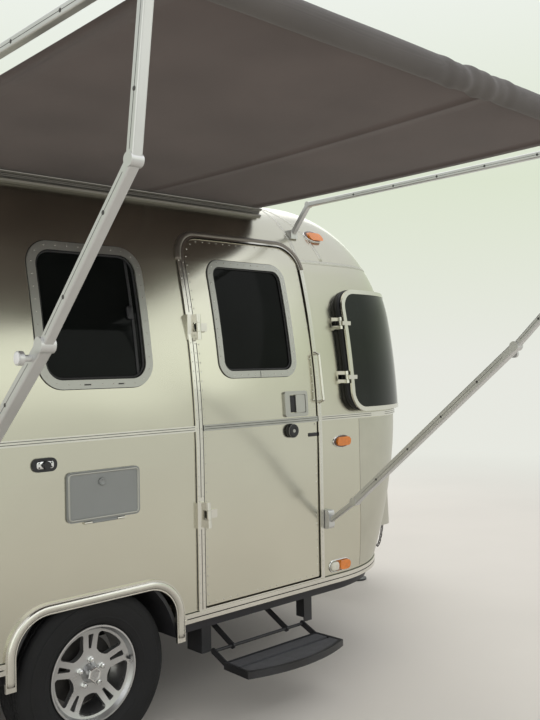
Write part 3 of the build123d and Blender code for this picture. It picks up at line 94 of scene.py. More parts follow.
def map_range(tree, value, limits, low=0.0, high=1.0, ease="LINEAR"):
    """A value between two limits mapped to low and high."""
    inputs = {"Value": value, "From Min": limits[0], "From Max": limits[1], "To Min": low, "To Max": high}
    return add_node(tree, "ShaderNodeMapRange", inputs, interpolation_type=ease).outputs["Result"]


def blend_colours(tree, factor, low, high):
    """Colour between two others by a factor."""
    inputs = {"Factor": factor, "A": (*low, 1), "B": (*high, 1)}
    return add_node(tree, "ShaderNodeMix", inputs, data_type="RGBA").outputs["Result"]


def bump_node(tree, height, strength, distance, **under):
    """Relief from a height, over another relief where one is given as Normal."""
    inputs = {"Height": height, "Strength": strength, "Distance": distance, **under}
    return add_node(tree, "ShaderNodeBump", inputs).outputs["Normal"]


def math_node(tree, operation, *terms):
    """Result of an operation on links and numbers."""
    return add_node(tree, "ShaderNodeMath", dict(enumerate(terms)), operation=operation).outputs["Value"]


def measure_node(tree, operation, place, value):
    """Dot product or distance of a linked place and a constant one."""
    inputs = {0: place, 1: value}
    return add_node(tree, "ShaderNodeVectorMath", inputs, operation=operation).outputs["Value"]


def mix_shaders(tree, factor, first, second):
    """Shader between two others by a factor."""
    return add_node(tree, "ShaderNodeMixShader", {0: factor, 1: first, 2: second}).outputs["Shader"]


def swell_height(tree, coords):
    """Broad shallow waves of sheet metal, from sines along crossed ways."""
    heights = [math_node(tree, "SINE", measure_node(tree, "DOT_PRODUCT", coords, way)) for way in SWELLS]
    return math_node(tree, "ADD", *heights)


def material(name, colour, metallic=0.0, rough=(0.4, 0.5), vary=0.08, patch=6.0, grain=120.0, bump=0.15,
             depth=0.0006, stretch=(1.0, 1.0, 1.0), coat=0.0, wave=0.0, specular=0.5):
    """Surface whose colour and roughness vary in patches, with a fine grain in its relief."""
    mat, tree, coords = new_tree(name)
    patches = noise_node(tree, coords, patch, stretch)
    low = tuple(part * (1 - vary) for part in colour)
    high = tuple(min(part * (1 + vary), 1.0) for part in colour)
    under = {}
    if wave:
        under["Normal"] = bump_node(tree, swell_height(tree, coords), wave, SWELL_DEPTH)
    fine = noise_node(tree, coords, grain, stretch)
    add_shader(tree, {
        "Base Color": blend_colours(tree, map_range(tree, patches, NOISE_RANGE), low, high),
        "Metallic": metallic,
        "Roughness": map_range(tree, patches, NOISE_RANGE, *rough),
        "Normal": bump_node(tree, fine, bump, depth, **under),
        "Specular IOR Level": specular,
        "Coat Weight": coat,
    })
    return mat


def woven(name, colour, second, thread):
    """Plain-weave cloth from two crossed bands of threads."""
    mat, tree, coords = new_tree(name)
    bands = []
    for direction in ("X", "Y"):
        inputs = {"Vector": coords, "Scale": thread, "Distortion": 0.6}
        wave = add_node(tree, "ShaderNodeTexWave", inputs, bands_direction=direction)
        bands.append(wave.outputs["Fac"])
    cross = math_node(tree, "MULTIPLY", *bands)
    patches = noise_node(tree, coords, 2.5)
    tone = math_node(tree, "MULTIPLY_ADD", cross, 0.35, map_range(tree, patches, NOISE_RANGE, 0.15, 0.65))
    add_shader(tree, {
        "Base Color": blend_colours(tree, tone, colour, second),
        "Roughness": map_range(tree, patches, NOISE_RANGE, 0.8, 0.92),
        "Normal": bump_node(tree, cross, 0.35, 0.0005),
        "Specular IOR Level": 0.2,
        "Sheen Weight": 0.15,
    })
    return mat


# Values in order: name, colour, metallic, roughness, variation, scale of patches, scale of grain, relief
SHEET = (60.0, 0.015, 0.0003)
SKIN = material("satin_aluminium", (0.57, 0.555, 0.47), 1.0, (0.20, 0.26), 0.03, 1.6, *SHEET, wave=0.5)
DOOR_SKIN = material("door_aluminium", (0.585, 0.57, 0.485), 1.0, (0.17, 0.22), 0.03, 1.9, *SHEET, wave=0.6)
FILM = material("clear_film", (0.50, 0.49, 0.42), 0.9, (0.30, 0.38), 0.06, 5.0, 18.0, 0.05, 0.0012, wave=1.0)
TRIM = material("bright_trim", (0.66, 0.645, 0.59), 1.0, (0.16, 0.24), 0.05, 3.0, 40.0, 0.01, 0.0003)
# Pressed flanges: a duller metal than the skin, and darker still as painted shade, their colour being set
# from a flange in the awning's shade
FLANGE = material("pressed_flange", (0.42, 0.42, 0.39), 0.85, (0.36, 0.44), 0.05, 4.0, 150.0, 0.06)
CAP = material("drip_cap", (0.19, 0.17, 0.145), 0.5, (0.28, 0.38), 0.08, 8.0, 160.0, 0.06)
RIVET = material("rivet_heads", (0.66, 0.65, 0.60), 1.0, (0.22, 0.3), 0.1, 30.0, 60.0, 0.01)
SEAM = material("seam_lap", (0.50, 0.49, 0.43), 1.0, (0.3, 0.38), 0.06, 5.0, 120.0, 0.04)
GLASSY = (0.3, 3.0, 20.0, 0.0)
GLASS = material("tinted_glass", (0.005, 0.006, 0.0055), 0.0, (0.03, 0.05), *GLASSY, specular=0.07)
GUARD = material("tinted_guard", (0.010, 0.013, 0.010), 0.0, (0.04, 0.07), *GLASSY, specular=0.24)
GASKET = material("black_gasket", (0.012, 0.012, 0.013), 0.0, (0.5, 0.62), 0.2, 20.0, 300.0, 0.2)
# Dark strips of painted shade, standing in for the shade in grooves, gaps, slots and holes
LINE = material("painted_groove_shade", (0.05, 0.048, 0.044), 0.0, (0.6, 0.7), 0.2, 20.0, 200.0, 0.1)
HATCH = material("grey_plate", (0.26, 0.27, 0.262), 0.35, (0.42, 0.52), 0.04, 4.0, 220.0, 0.1)
STEEL = material("black_paint", (0.018, 0.018, 0.02), 0.0, (0.4, 0.58), 0.3, 7.0, 180.0, 0.25)
BELLY = material("belly_sheet", (0.028, 0.026, 0.03), 0.2, (0.5, 0.65), 0.2, 5.0, 120.0, 0.2)
BLACK = material("black_plastic", (0.018, 0.018, 0.02), 0.0, (0.45, 0.6), 0.2, 20.0, 400.0, 0.25)
RUBBER = material("tyre_rubber", (0.012, 0.012, 0.0125), 0.0, (0.66, 0.84), 0.3, 12.0, 350.0, 0.35,
                  specular=0.3)
ALLOY = material("silver_alloy", (0.52, 0.52, 0.52), 0.9, (0.26, 0.34), 0.05, 12.0, 300.0, 0.05)
CAST = material("dark_casting", (0.05, 0.046, 0.043), 0.6, (0.5, 0.7), 0.3, 14.0, 160.0, 0.5)
TUBE = material("awning_metal", (0.58, 0.58, 0.57), 0.8, (0.30, 0.38), 0.05, 6.0, 40.0, 0.02, 0.0003)
# The awning rail's colour is darker than the arms' metal: painted shade of the awning over it
RAIL = material("shaded_rail", (0.31, 0.30, 0.28), 0.8, (0.32, 0.4), 0.05, 6.0, 40.0, 0.02, 0.0003)
# Cloth and wound cloth: the fabric's grey-brown, darkened as painted shade of the awning's shaded underside
# and of the roller's shaded lower side
CLOTH = woven("awning_weave", (0.083, 0.066, 0.062), (0.154, 0.124, 0.117), 260.0)
ROLLED = woven("rolled_weave", (0.078, 0.071, 0.067), (0.142, 0.131, 0.122), 220.0)
# Hems and seam: a darker copy of the cloth, painted shade along the doubled cloth
HEM = woven("awning_hem", (0.071, 0.057, 0.053), (0.132, 0.107, 0.101), 300.0)
WHITE = material("white_moulding", (0.74, 0.74, 0.72), 0.0, (0.4, 0.52), 0.04, 8.0, 260.0, 0.15)
COVER = material("cover_sheet", (0.52, 0.505, 0.45), 0.9, (0.3, 0.4), 0.04, 3.0, 120.0, 0.03, wave=0.5)
GRIP = material("grip_strip", (0.075, 0.075, 0.08), 0.0, (0.8, 0.92), 0.15, 30.0, 700.0, 0.8)
RED = material("red_lens", (0.45, 0.012, 0.012), 0.0, (0.08, 0.14), 0.15, 60.0, 200.0, 0.1, coat=0.6)
AMBER = material("amber_lens", (0.68, 0.19, 0.012), 0.0, (0.08, 0.14), 0.12, 60.0, 200.0, 0.1, coat=0.5)
CLEAR = material("clear_lens", (0.62, 0.60, 0.50), 0.0, (0.1, 0.16), 0.08, 60.0, 200.0, 0.1, coat=0.5)
BOARD = material("sealed_board", (0.40, 0.33, 0.26), 0.0, (0.6, 0.75), 0.12, 6.0, 80.0, 0.2,
                 stretch=(1.0, 6.0, 1.0))
CHROME = material("chrome", (0.72, 0.72, 0.72), 1.0, (0.1, 0.18), 0.04, 20.0, 60.0, 0.01)
# Lamp bases in dark brown: painted shade of the upper lamps' shaded base
BASE = material("lamp_base", (0.075, 0.032, 0.014), 0.0, (0.2, 0.3), 0.2, 30.0, 120.0, 0.1, coat=0.3)

# Material of each node that stays as the source made it
SHELL = "wall_right wall_left roof front_cap_upper front_cap_lower rear_cap_upper rear_cap_lower"
NODE_MATERIALS = (
    (SKIN, SHELL),
    (DOOR_SKIN, "entry_door"),
    (HATCH, "service_hatch left_service_panels"),
    (BOARD, "floor"),
    (STEEL, "chassis_frame axle stabiliser_leg_right stabiliser_leg_left safety_chains jack_tube jack_leg"),
    (STEEL, "step_bracket step_arms step_tread"),
    (BELLY, "belly_pan"),
    (BLACK, "wheel_wells door_catch"),
    (ALLOY, "rim_right rim_left"),
    (CAST, "brake_drum_right brake_drum_left coupler"),
    (TRIM, "wheel_arch_trims sill_rail grab_handle hinge_brackets door_hinge_leaves"),
    (TRIM, "guard_frame_right guard_frame_left body_mouldings"),
    (FLANGE, "window_frames door_mouldings door_handle"),
    (GLASS, "window_glass door_glass"),
    (GUARD, "window_guard_right window_guard_left"),
    (RAIL, "awning_rail"),
    (TUBE, "awning_arms awning_rafters"),
    (WHITE, "air_conditioner roof_vent_base roof_vent_lid"),
    (COVER, "gas_bottle_cover rear_bumper"),
    (GRIP, "step_tread_pads"),
    (RED, "tail_lamps"),
    (AMBER, "marker_lamps"),
)
for surface, names in NODE_MATERIALS:
    for name in names.split():
        mesh = nodes[name].data
        mesh.materials.clear()
        mesh.materials.append(surface)


# Surfaces that trims and rivets are set on

def tree_of(names):
    """Ray-casting tree of some CAD nodes."""
    bm = bmesh.new()
    for name in names.split():
        bm.from_mesh(nodes[name].data)
    tree = BVHTree.FromBMesh(bm)
    bm.free()
    return tree


BODY = tree_of(SHELL)
DOOR = tree_of("entry_door door_mouldings door_glass")
DOOR_PARTS = tree_of("entry_door door_mouldings door_handle")
FLANGES = tree_of("window_frames")
PANES = tree_of("window_glass")
MOULDINGS = tree_of("body_mouldings")
HATCH_LEAF = tree_of("service_hatch")
LEFT_PANELS = tree_of("left_service_panels")
ARCHES = tree_of("wheel_arch_trims")
SILL = tree_of("sill_rail")
AWNING_RAIL = tree_of("awning_rail")
CATCH = tree_of("door_catch")
FAR = 3.0
FRONT_CENTRE_X = 1000.0
REAR_CENTRE_X = -160.0
HOOP_Z = 1400.0
CORNER_R = 600.0
CORNER_X = 1800.0
CORNER_Y = 620.0
MIDDLE_X = 440.0
OUTSIDE_X = 1900.0
OUTSIDE_Y = 1000.0


def cast(tree, target, direction):
    """First point, and its outward normal, that a ray meets from outside towards a target."""
    way = Vector(direction).normalized()
    point, normal = tree.ray_cast(target - way * FAR, way, 2 * FAR)[:2]
    if point is None:
        return None
    return point, -normal if normal.dot(way) > 0 else normal


def on_side(tree, side, x, z):
    """Point on a side wall at a place along it and a height."""
    return cast(tree, at(x, side * OUTSIDE_Y, z), (0, -side, 0))


def trace(tree, side, outline):
    """Points on a side wall along an outline of (place along it, height)."""
    return [on_side(tree, side, x, z) for x, z in outline]


def on_end(tree, end, y, z):
    """Point on the front (end 1) or rear (end -1) of the body."""
    return cast(tree, at(MIDDLE_X + end * OUTSIDE_X, y, z), (-end, 0, 0))


def end_centre(end, z):
    """Point inside an end of the body that rays go towards."""
    return at(FRONT_CENTRE_X if end > 0 else REAR_CENTRE_X, 0, z)


def around_end(tree, end, angle, z):
    """Point on an end cap at an angle round from straight ahead or astern, and a height."""
    return cast(tree, end_centre(end, z), (-end * cos(angle), -sin(angle), 0))


def around_hoop(tree, x, angle):
    """Point on the body in a plane across it, at an angle up from the left side."""
    return cast(tree, at(x, 0, HOOP_Z), (0, -cos(angle), -sin(angle)))


def over_end(tree, end, angle, lift):
    """Point on an end cap in an upright plane at an angle round, looking up by another."""
    way = (-end * cos(angle) * cos(lift), -sin(angle) * cos(lift), -sin(lift))
    return cast(tree, end_centre(end, HOOP_Z), way)


def round_corner(tree, side, run, z):
    """Point on a front corner, a run round it from where it leaves the side wall."""
    quarter = CORNER_R * pi / 2
    if run < 0:
        return on_side(tree, side, CORNER_X + run, z)
    if run < quarter:
        angle = run / CORNER_R
        return cast(tree, at(CORNER_X, side * CORNER_Y, z), (-sin(angle), -side * cos(angle), 0))
    return on_end(tree, 1, side * (CORNER_Y - (run - quarter)), z)


def add_object(name, data):
    """Object in the scene, of a mesh, a light or a camera."""
    added = bpy.data.objects.new(name, data)
    bpy.context.scene.collection.objects.link(added)
    return added


def finish_mesh(name, bm, surface, body="caravan", smooth=True):
    """Turn a bmesh into a piece that rides on a body."""
    bmesh.ops.recalc_face_normals(bm, faces=bm.faces)
    mesh = bpy.data.meshes.new(name)
    bm.to_mesh(mesh)
    bm.free()
    mesh.polygons.foreach_set("use_smooth", [smooth] * len(mesh.polygons))
    mesh.materials.append(surface)
    piece = add_object(name, mesh)
    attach(piece, body)
    return piece


def axes_at(normal):
    """Two directions across a normal."""
    side = normal.cross(Vector((0, 0, 1)))
    if side.length < 0.1:
        side = normal.cross(Vector((0, 1, 0)))
    side.normalize()
    return side, normal.cross(side).normalized()


def pairs_round(loop):
    """Each item of a closed loop with the next one."""
    return zip(loop, loop[1:] + loop[:1])


def skin_loops(bm, loops, closed=False, ends=True):
    """Skin over closed loops in a row, with a face at each end unless the row closes on itself."""
    for first, second in pairs_round(loops) if closed else zip(loops, loops[1:]):
        for (near, near_next), (far, far_next) in zip(pairs_round(first), pairs_round(second)):
            bm.faces.new((near, near_next, far_next, far))
    if ends and not closed:
        bm.faces.new(list(reversed(loops[0])))
        bm.faces.new(loops[-1])


HEAD_RINGS = ((1.0, -0.3), (0.92, 0.4), (0.5, 1.0))


def add_dome(bm, point, normal, radius, height, sides=6, turn=0.0, rings=HEAD_RINGS):
    """Low round or many-sided head on a surface, from rings of (share of radius, share of height)."""
    u, v = axes_at(normal)
    loops = []
    for scale, lift in rings:
        loop = []
        for index in range(sides):
            angle = turn + 2 * pi * index / sides
            offset = u * cos(angle) + v * sin(angle)
            loop.append(bm.verts.new(point + offset * radius * scale + normal * height * lift))
        loops.append(loop)
    skin_loops(bm, loops)


RIVET_R = 0.0042
RIVET_H = 0.0020
SMALL_RIVET_R = 0.0033


def walk(hits, pitch):
    """Evenly spaced points and normals along a traced line."""
    spaced = []
    carried = pitch / 2
    for (p0, n0), (p1, n1) in zip(hits, hits[1:]):
        length = (p1 - p0).length
        while length > 1e-6 and carried <= length:
            share = carried / length
            spaced.append((p0.lerp(p1, share), n0.lerp(n1, share).normalized()))
            carried += pitch
        carried -= length
    return spaced


def add_rivets(bm, hits, pitch, radius=RIVET_R, lift=0.0):
    """Row of rivets along a traced line, with gaps where the line misses."""
    for run in runs_of(hits):
        for point, normal in walk(run, pitch):
            add_dome(bm, point + normal * lift, normal, radius, RIVET_H)


def runs_of(hits, gap=0.12):
    """Split a traced line where it misses the surface or jumps."""
    runs = []
    run = []
    for hit in hits:
        if hit is None or (run and (hit[0] - run[-1][0]).length > gap):
            if len(run) > 1:
                runs.append(run)
            run = []
        if hit is not None:
            run.append(hit)
    if len(run) > 1:
        runs.append(run)
    return runs


def add_line(bm, hits, section, gap=0.12):
    """Bars along those stretches of a traced line that are on the surface."""
    for run in runs_of(hits, gap):
        add_ribbon(bm, run, section)


def strip(width, height, sunk=0.001):
    """Section of a flat strip with eased edges: (across, up) points."""
    half = width / 2
    edge = min(half * 0.3, height)
    return (
        (-half, -sunk), (-half, height * 0.6), (edge - half, height),
        (half - edge, height), (half, height * 0.6), (half, -sunk),
    )


def half_round(width, height, sunk=0.001, points=7):
    """Section of a half-round bead: (across, up) points."""
    half = width / 2
    angles = [pi * index / (points - 1) for index in range(points)]
    arc = [(-half * cos(angle), height * sin(angle)) for angle in angles]
    return [(-half, -sunk)] + arc + [(half, -sunk)]


def add_ribbon(bm, hits, section, closed=False):
    """Bar of a constant section that follows a traced line on a surface."""
    count = len(hits)
    loops = []
    for index, (point, normal) in enumerate(hits):
        if closed:
            before = hits[index - 1][0]
            after = hits[(index + 1) % count][0]
        else:
            before = hits[max(index - 1, 0)][0]
            after = hits[min(index + 1, count - 1)][0]
        along = (after - before).normalized()
        across = normal.cross(along).normalized()
        loops.append([bm.verts.new(point + across * aside + normal * up) for aside, up in section])
    skin_loops(bm, loops, closed)


PLATE_CROWN = 0.05


def add_plate(bm, hits, low, high, ease=0.003):
    """Raised plate inside a closed traced line, with eased edges."""
    centre = sum((point for point, normal in hits), Vector()) / len(hits)
    normal = sum((normal for point, normal in hits), Vector()).normalized()
    rings = []
    for shrink, lift in ((0.0, low), (0.0, high - ease * 0.6), (ease, high)):
        ring = []
        for point, own in hits:
            inward = (centre - point).normalized()
            ring.append(bm.verts.new(point + inward * shrink + own * lift))
        rings.append(ring)
    skin_loops(bm, rings, ends=False)
    for ring, lift in ((rings[0], low), (rings[-1], high)):
        middle = sum((vert.co for vert in ring), Vector()) / len(ring)
        tip = bm.verts.new(middle + normal * abs(lift) * PLATE_CROWN)
        for vert, next_vert in pairs_round(ring):
            bm.faces.new((vert, next_vert, tip))


def add_tube(bm, points, radius, sides=6, closed=False):
    """Round bar along points in space."""
    count = len(points)
    loops = []
    lean = Vector((0.31, 0.23, 0.92))
    for index, point in enumerate(points):
        before = points[index - 1] if closed or index else point
        after = points[(index + 1) % count] if closed or index < count - 1 else point
        along = (after - before).normalized()
        u = along.cross(lean).normalized()
        v = along.cross(u)
        turns = [2 * pi * index / sides for index in range(sides)]
        loops.append([bm.verts.new(point + (u * cos(turn) + v * sin(turn)) * radius) for turn in turns])
    skin_loops(bm, loops, closed)


def rounded(x0, x1, z0, z1, top_r, foot_r=None, pitch=25.0):
    """Points round an upright rectangle with round corners, from its upper right corner on."""
    foot_r = top_r if foot_r is None else foot_r
    corners = (
        (x1 - top_r, z1 - top_r, top_r, 0), (x0 + top_r, z1 - top_r, top_r, 90),
        (x0 + foot_r, z0 + foot_r, foot_r, 180), (x1 - foot_r, z0 + foot_r, foot_r, 270),
    )
    points = []
    for cx, cz, radius, start in corners:
        arc_steps = max(3, ceil(radius * pi / 2 / pitch * 1.5))
        for index in range(arc_steps + 1):
            angle = radians(start + 90 * index / arc_steps)
            points.append((cx + radius * cos(angle), cz + radius * sin(angle)))
    full = []
    for (ax, az), (bx, bz) in pairs_round(points):
        parts = max(1, ceil(hypot(bx - ax, bz - az) / pitch))
        for index in range(parts):
            full.append((ax + (bx - ax) * index / parts, az + (bz - az) * index / parts))
    return full


def around(x, z, half_l, half_h, radius, grow=0.0, pitch=25.0):
    """Points round a rectangle from its centre and halves, grown by a margin."""
    x0 = x - half_l - grow
    z0 = z - half_h - grow
    return rounded(x0, x + half_l + grow, z0, z + half_h + grow, max(radius + grow, 1.0), pitch=pitch)


def steps(start, end, pitch):
    """Numbers from start to end about a pitch apart."""
    count = max(2, int(abs(end - start) / pitch) + 1)
    return [start + (end - start) * index / (count - 1) for index in range(count)]


def side_line(tree, side, x0, z0, x1, z1, pitch=40.0):
    """Straight line traced on a side wall."""
    count = max(2, ceil(hypot(x1 - x0, z1 - z0) / pitch) + 1)
    return [
        on_side(tree, side, x0 + (x1 - x0) * index / (count - 1), z0 + (z1 - z0) * index / (count - 1))
        for index in range(count)
    ]


# Seams of the shell: traced lines with a lap strip and a row of rivets each
SEAM_PITCH = 0.034
LAP_H = 0.0012
LAP = strip(0.022, LAP_H)
FRONT_SEAM_X = 1375.0
REAR_SEAM_X = -530.0
UPPER_SEAM_Z = 2238.0
SIDE_SEAM_Z = 2330.0
# Angles in degrees: from, to and step round the body, round an end and up over it, and the seams up an end
HOOP_ANGLES = (-44.0, 224.0, 1.0)
END_ANGLES = (-73.0, 73.0, 1.5)
LIFTS = (31.0, 78.0, 0.8)
UPRIGHT_SEAMS = (-62.0, -31.0, 0.0, 31.0, 62.0)
seam_lines = []
for x in (FRONT_SEAM_X, REAR_SEAM_X):
    seam_lines.append([around_hoop(BODY, x, radians(angle)) for angle in steps(*HOOP_ANGLES)])
seam_lines.append(side_line(BODY, 1, REAR_SEAM_X + 10, SIDE_SEAM_Z, FRONT_SEAM_X - 15, SIDE_SEAM_Z))
for end in (1, -1):
    seam_lines.append([around_end(BODY, end, radians(turn), UPPER_SEAM_Z) for turn in steps(*END_ANGLES)])
    for angle in UPRIGHT_SEAMS:
        line = [over_end(BODY, end, radians(angle), radians(lift)) for lift in steps(*LIFTS)]
        seam_lines.append([hit for hit in line if hit[0].z > at(0, 0, UPPER_SEAM_Z).z])
lap_bm = bmesh.new()
rivet_bm = bmesh.new()
for line in seam_lines:
    add_line(lap_bm, line, LAP)
    add_rivets(rivet_bm, line, SEAM_PITCH, lift=LAP_H)
finish_mesh("shell_seams", lap_bm, SEAM)

# Windows: side or end, centre along or across it, its height, half length and half height
SIDE_WINDOWS = (
    (-1, 27.0, 1903.0, 248.0, 278.0), (1, -250.0, 1903.0, 248.0, 278.0), (1, 780.0, 1903.0, 330.0, 278.0),
)
END_WINDOWS = ((1, 0.0, 1748.0, 370.0, 308.0), (-1, 0.0, 1780.0, 400.0, 250.0))
WINDOW_R = 75.0
PANE_IN = 6.0
FLANGE_MID = 21.0
FLANGE_EDGE = 39.5
FLANGE_LINE = strip(0.0032, 0.0012)
FLANGE_PITCH = 0.055
GASKET_BAR = strip(0.012, 0.008)
gasket_bm = bmesh.new()
for table, finder in ((SIDE_WINDOWS, on_side), (END_WINDOWS, on_end)):
    for facing, *size in table:
        rim = [finder(FLANGES, facing, u, w) for u, w in around(*size, WINDOW_R, FLANGE_MID)]
        add_rivets(rivet_bm, rim + rim[:1], FLANGE_PITCH, SMALL_RIVET_R)
        for surface, margin, section in ((PANES, -PANE_IN, GASKET_BAR), (BODY, FLANGE_EDGE, FLANGE_LINE)):
            edge = [finder(surface, facing, u, w) for u, w in around(*size, WINDOW_R, margin)]
            add_ribbon(gasket_bm, edge, section, closed=True)

# Boots of the front corner windows, behind their guards: black rubber, also standing in as painted shade for
# the gap behind each guard
BOOT_REAR_X = 1608.0
BOOT_FRONT_Y = 445.0
BOOT_LOW_Z = 1420.0
BOOT_HIGH_Z = 2076.0
BOOT_R = 100.0
BOOT = strip(0.020, 0.030, 0.004)
nose_run = CORNER_R * pi / 2 + CORNER_Y
outline = rounded(BOOT_REAR_X - CORNER_X, nose_run - BOOT_FRONT_Y, BOOT_LOW_Z, BOOT_HIGH_Z, BOOT_R)
for side in (-1, 1):
    boot = [round_corner(BODY, side, run, z) for run, z in outline]
    add_line(gasket_bm, boot + boot[:1], BOOT)
finish_mesh("window_gaskets", gasket_bm, GASKET)

# Entry door: its leaf, its window and the trim round it
DOOR_REAR_X = 572.0
DOOR_FRONT_X = 1362.0
DOOR_LOW_Z = 535.0
DOOR_HIGH_Z = 2310.0
DOOR_R = 125.0
DOOR_WINDOW = (968.0, 1906.0, 230.0, 260.0, 50.0)
LEAF_FOOT_R = 4.0
DOOR_PITCH = 0.044
DOOR_WINDOW_PITCH = 0.046
EDGE_IN = 20.0
door_bm = bmesh.new()
leaf = rounded(
    DOOR_REAR_X + EDGE_IN, DOOR_FRONT_X - EDGE_IN, DOOR_LOW_Z + EDGE_IN, DOOR_HIGH_Z - EDGE_IN,
    DOOR_R - EDGE_IN, LEAF_FOOT_R,
)
leaf_line = trace(DOOR_PARTS, -1, leaf)
add_rivets(door_bm, leaf_line + leaf_line[:1], DOOR_PITCH)
rim = trace(DOOR_PARTS, -1, around(*DOOR_WINDOW, EDGE_IN))
add_rivets(door_bm, rim + rim[:1], DOOR_WINDOW_PITCH)
finish_mesh("door_rivets", door_bm, RIVET, "entry_door")

# Rows of rivets on the doorway's trim: place along the wall and pitch
TRIM_ROWS = ((DOOR_REAR_X - 34.0, 0.045), (DOOR_REAR_X - 9.0, 0.045), (DOOR_FRONT_X + 13.0, 0.022))
for x, pitch in TRIM_ROWS:
    line = side_line(MOULDINGS, -1, x, DOOR_LOW_Z + 10, x, DOOR_HIGH_Z - 120, 25.0)
    add_rivets(rivet_bm, line, pitch, SMALL_RIVET_R)


def kept_run(points, keep):
    """Points of a closed outline that pass a test, in order from where they begin."""
    start = next(index for index, point in enumerate(points) if not keep(point))
    turned = points[start:] + points[:start]
    return [point for point in turned if keep(point)]


# Drip cap over the doorway, half round, from below one top corner to below the other
CAP_GROW_REAR = 30.0
CAP_GROW = 15.0
CAP_END_Z = 2170.0
cap_outline = rounded(
    DOOR_REAR_X - CAP_GROW_REAR, DOOR_FRONT_X + CAP_GROW, DOOR_LOW_Z, DOOR_HIGH_Z + CAP_GROW,
    DOOR_R + CAP_GROW, pitch=18.0,
)
cap_bm = bmesh.new()
cap_line = trace(BODY, -1, kept_run(cap_outline, lambda point: point[1] > CAP_END_Z))
add_ribbon(cap_bm, cap_line, half_round(0.034, 0.017))
finish_mesh("door_drip_cap", cap_bm, CAP)
finish_mesh("shell_rivets", rivet_bm, RIVET)

# Door window's gasket, the line round its flange, and the flange's butt joint in the middle of its foot
door_gasket_bm = bmesh.new()
for margin, section in ((-5.0, strip(0.010, 0.008)), (35.5, FLANGE_LINE)):
    add_ribbon(door_gasket_bm, trace(DOOR, -1, around(*DOOR_WINDOW, margin)), section, closed=True)
joint_x = DOOR_WINDOW[0]
joint_z = DOOR_WINDOW[1] - DOOR_WINDOW[3]
joint = side_line(DOOR, -1, joint_x, joint_z - 2, joint_x, joint_z - 33, 10.0)
add_ribbon(door_gasket_bm, joint, strip(0.003, 0.0008))
finish_mesh("door_gasket", door_gasket_bm, GASKET, "entry_door")

# Thin dark lines of painted shade: the shade in the belt's grooves, and in the two drain slots in each side
# window's foot
groove_bm = bmesh.new()
GROOVE = strip(0.0026, 0.0006)
BELT_LINES = (1376.0, 1387.0)
# Side, from and to along it
BELT_RUNS = ((-1, -500.0, 525.0), (-1, 1392.0, 1800.0), (1, -500.0, 1800.0))
DOOR_BELT = (584.0, 1350.0)
BELT_ANGLES = (-52.0, 52.0, 1.5)
SLOT_OFFSETS = (-60.0, 110.0)
SLOT_HALF_L = 16.0
door_belt_bm = bmesh.new()
for z in BELT_LINES:
    for side, x0, x1 in BELT_RUNS:
        add_ribbon(groove_bm, side_line(MOULDINGS, side, x0, z, x1, z), GROOVE)
    for end in (1, -1):
        line = [around_end(MOULDINGS, end, radians(turn), z) for turn in steps(*BELT_ANGLES)]
        add_line(groove_bm, line, GROOVE)
    add_ribbon(door_belt_bm, side_line(DOOR_PARTS, -1, DOOR_BELT[0], z, DOOR_BELT[1], z), GROOVE)
for side, x, z, half_l, half_h in SIDE_WINDOWS:
    slot_z = z - half_h - FLANGE_MID
    for offset in SLOT_OFFSETS:
        slot_x = x + offset
        slot = side_line(FLANGES, side, slot_x - SLOT_HALF_L, slot_z, slot_x + SLOT_HALF_L, slot_z, 8.0)
        add_ribbon(groove_bm, slot, strip(0.006, 0.0008))
finish_mesh("belt_grooves", groove_bm, LINE)
finish_mesh("door_belt_grooves", door_belt_bm, LINE, "entry_door")

# Latch and sliding bar of the side windows
BAR_IN = 38.0
BAR_SHORT = 12.0
LATCH_IN = 52.0
LATCH_UP = 16.0
LATCH_SIZE = (16.0, 30.0, 8.0)
latch_bm = bmesh.new()
for side, x, z, half_l, half_h in SIDE_WINDOWS:
    bar_x = x + half_l - BAR_IN
    bar_half = half_h - BAR_SHORT
    bar = side_line(PANES, side, bar_x, z - bar_half, bar_x, z + bar_half)
    add_ribbon(latch_bm, bar, strip(0.014, 0.006))
    latch = around(x + half_l - LATCH_IN, z + LATCH_UP, *LATCH_SIZE, pitch=10.0)
    add_plate(latch_bm, trace(PANES, side, latch), -0.001, 0.012)
finish_mesh("window_latches", latch_bm, BLACK)

# Lamps: bases of the upper ones in dark brown as painted shade, their bezels, a clear one beside each lower
# one, and the tail lamps' rims
UPPER_LAMPS = ((1552.0, 1248.0), (1596.0, 2400.0))
BASE_REAR = 74.0
BASE_FRONT = 61.0
BASE_HALF_H = 33.0
BASE_STEPS = 40
CLEAR_LAMP = (1470.0, 574.0, 32.0, 23.0, 21.0)
LOWER_PAIR = (1513.0, 574.0, 74.0, 25.0, 24.0)
TAIL_LAMP = (1000.0, 92.0, 62.0, 30.0)
TAIL_LAMP_Y = 900.0
bezel_bm = bmesh.new()
base_bm = bmesh.new()
clear_bm = bmesh.new()
for side in (-1, 1):
    for x, z in UPPER_LAMPS:
        oval = []
        for index in range(BASE_STEPS):
            angle = 2 * pi * index / BASE_STEPS
            reach = BASE_REAR if cos(angle) < 0 else BASE_FRONT
            oval.append((x + reach * cos(angle), z + BASE_HALF_H * sin(angle)))
        base = trace(BODY, side, oval)
        add_plate(base_bm, base, -0.001, 0.008)
        add_ribbon(bezel_bm, base, half_round(0.005, 0.008), closed=True)
    add_plate(clear_bm, trace(BODY, side, around(*CLEAR_LAMP, 0.0, 8.0)), -0.001, 0.017, 0.006)
    rim = trace(BODY, side, around(*LOWER_PAIR, 5.0, 12.0))
    add_ribbon(bezel_bm, rim, half_round(0.008, 0.006), closed=True)
    bezel = [on_end(BODY, -1, y, z) for y, z in around(side * TAIL_LAMP_Y, *TAIL_LAMP, 7.0, 12.0)]
    add_ribbon(bezel_bm, bezel, half_round(0.012, 0.014), closed=True)
finish_mesh("lamp_bezels", bezel_bm, CHROME)
finish_mesh("lamp_bases", base_bm, BASE)
finish_mesh("clear_lamps", clear_bm, CLEAR)

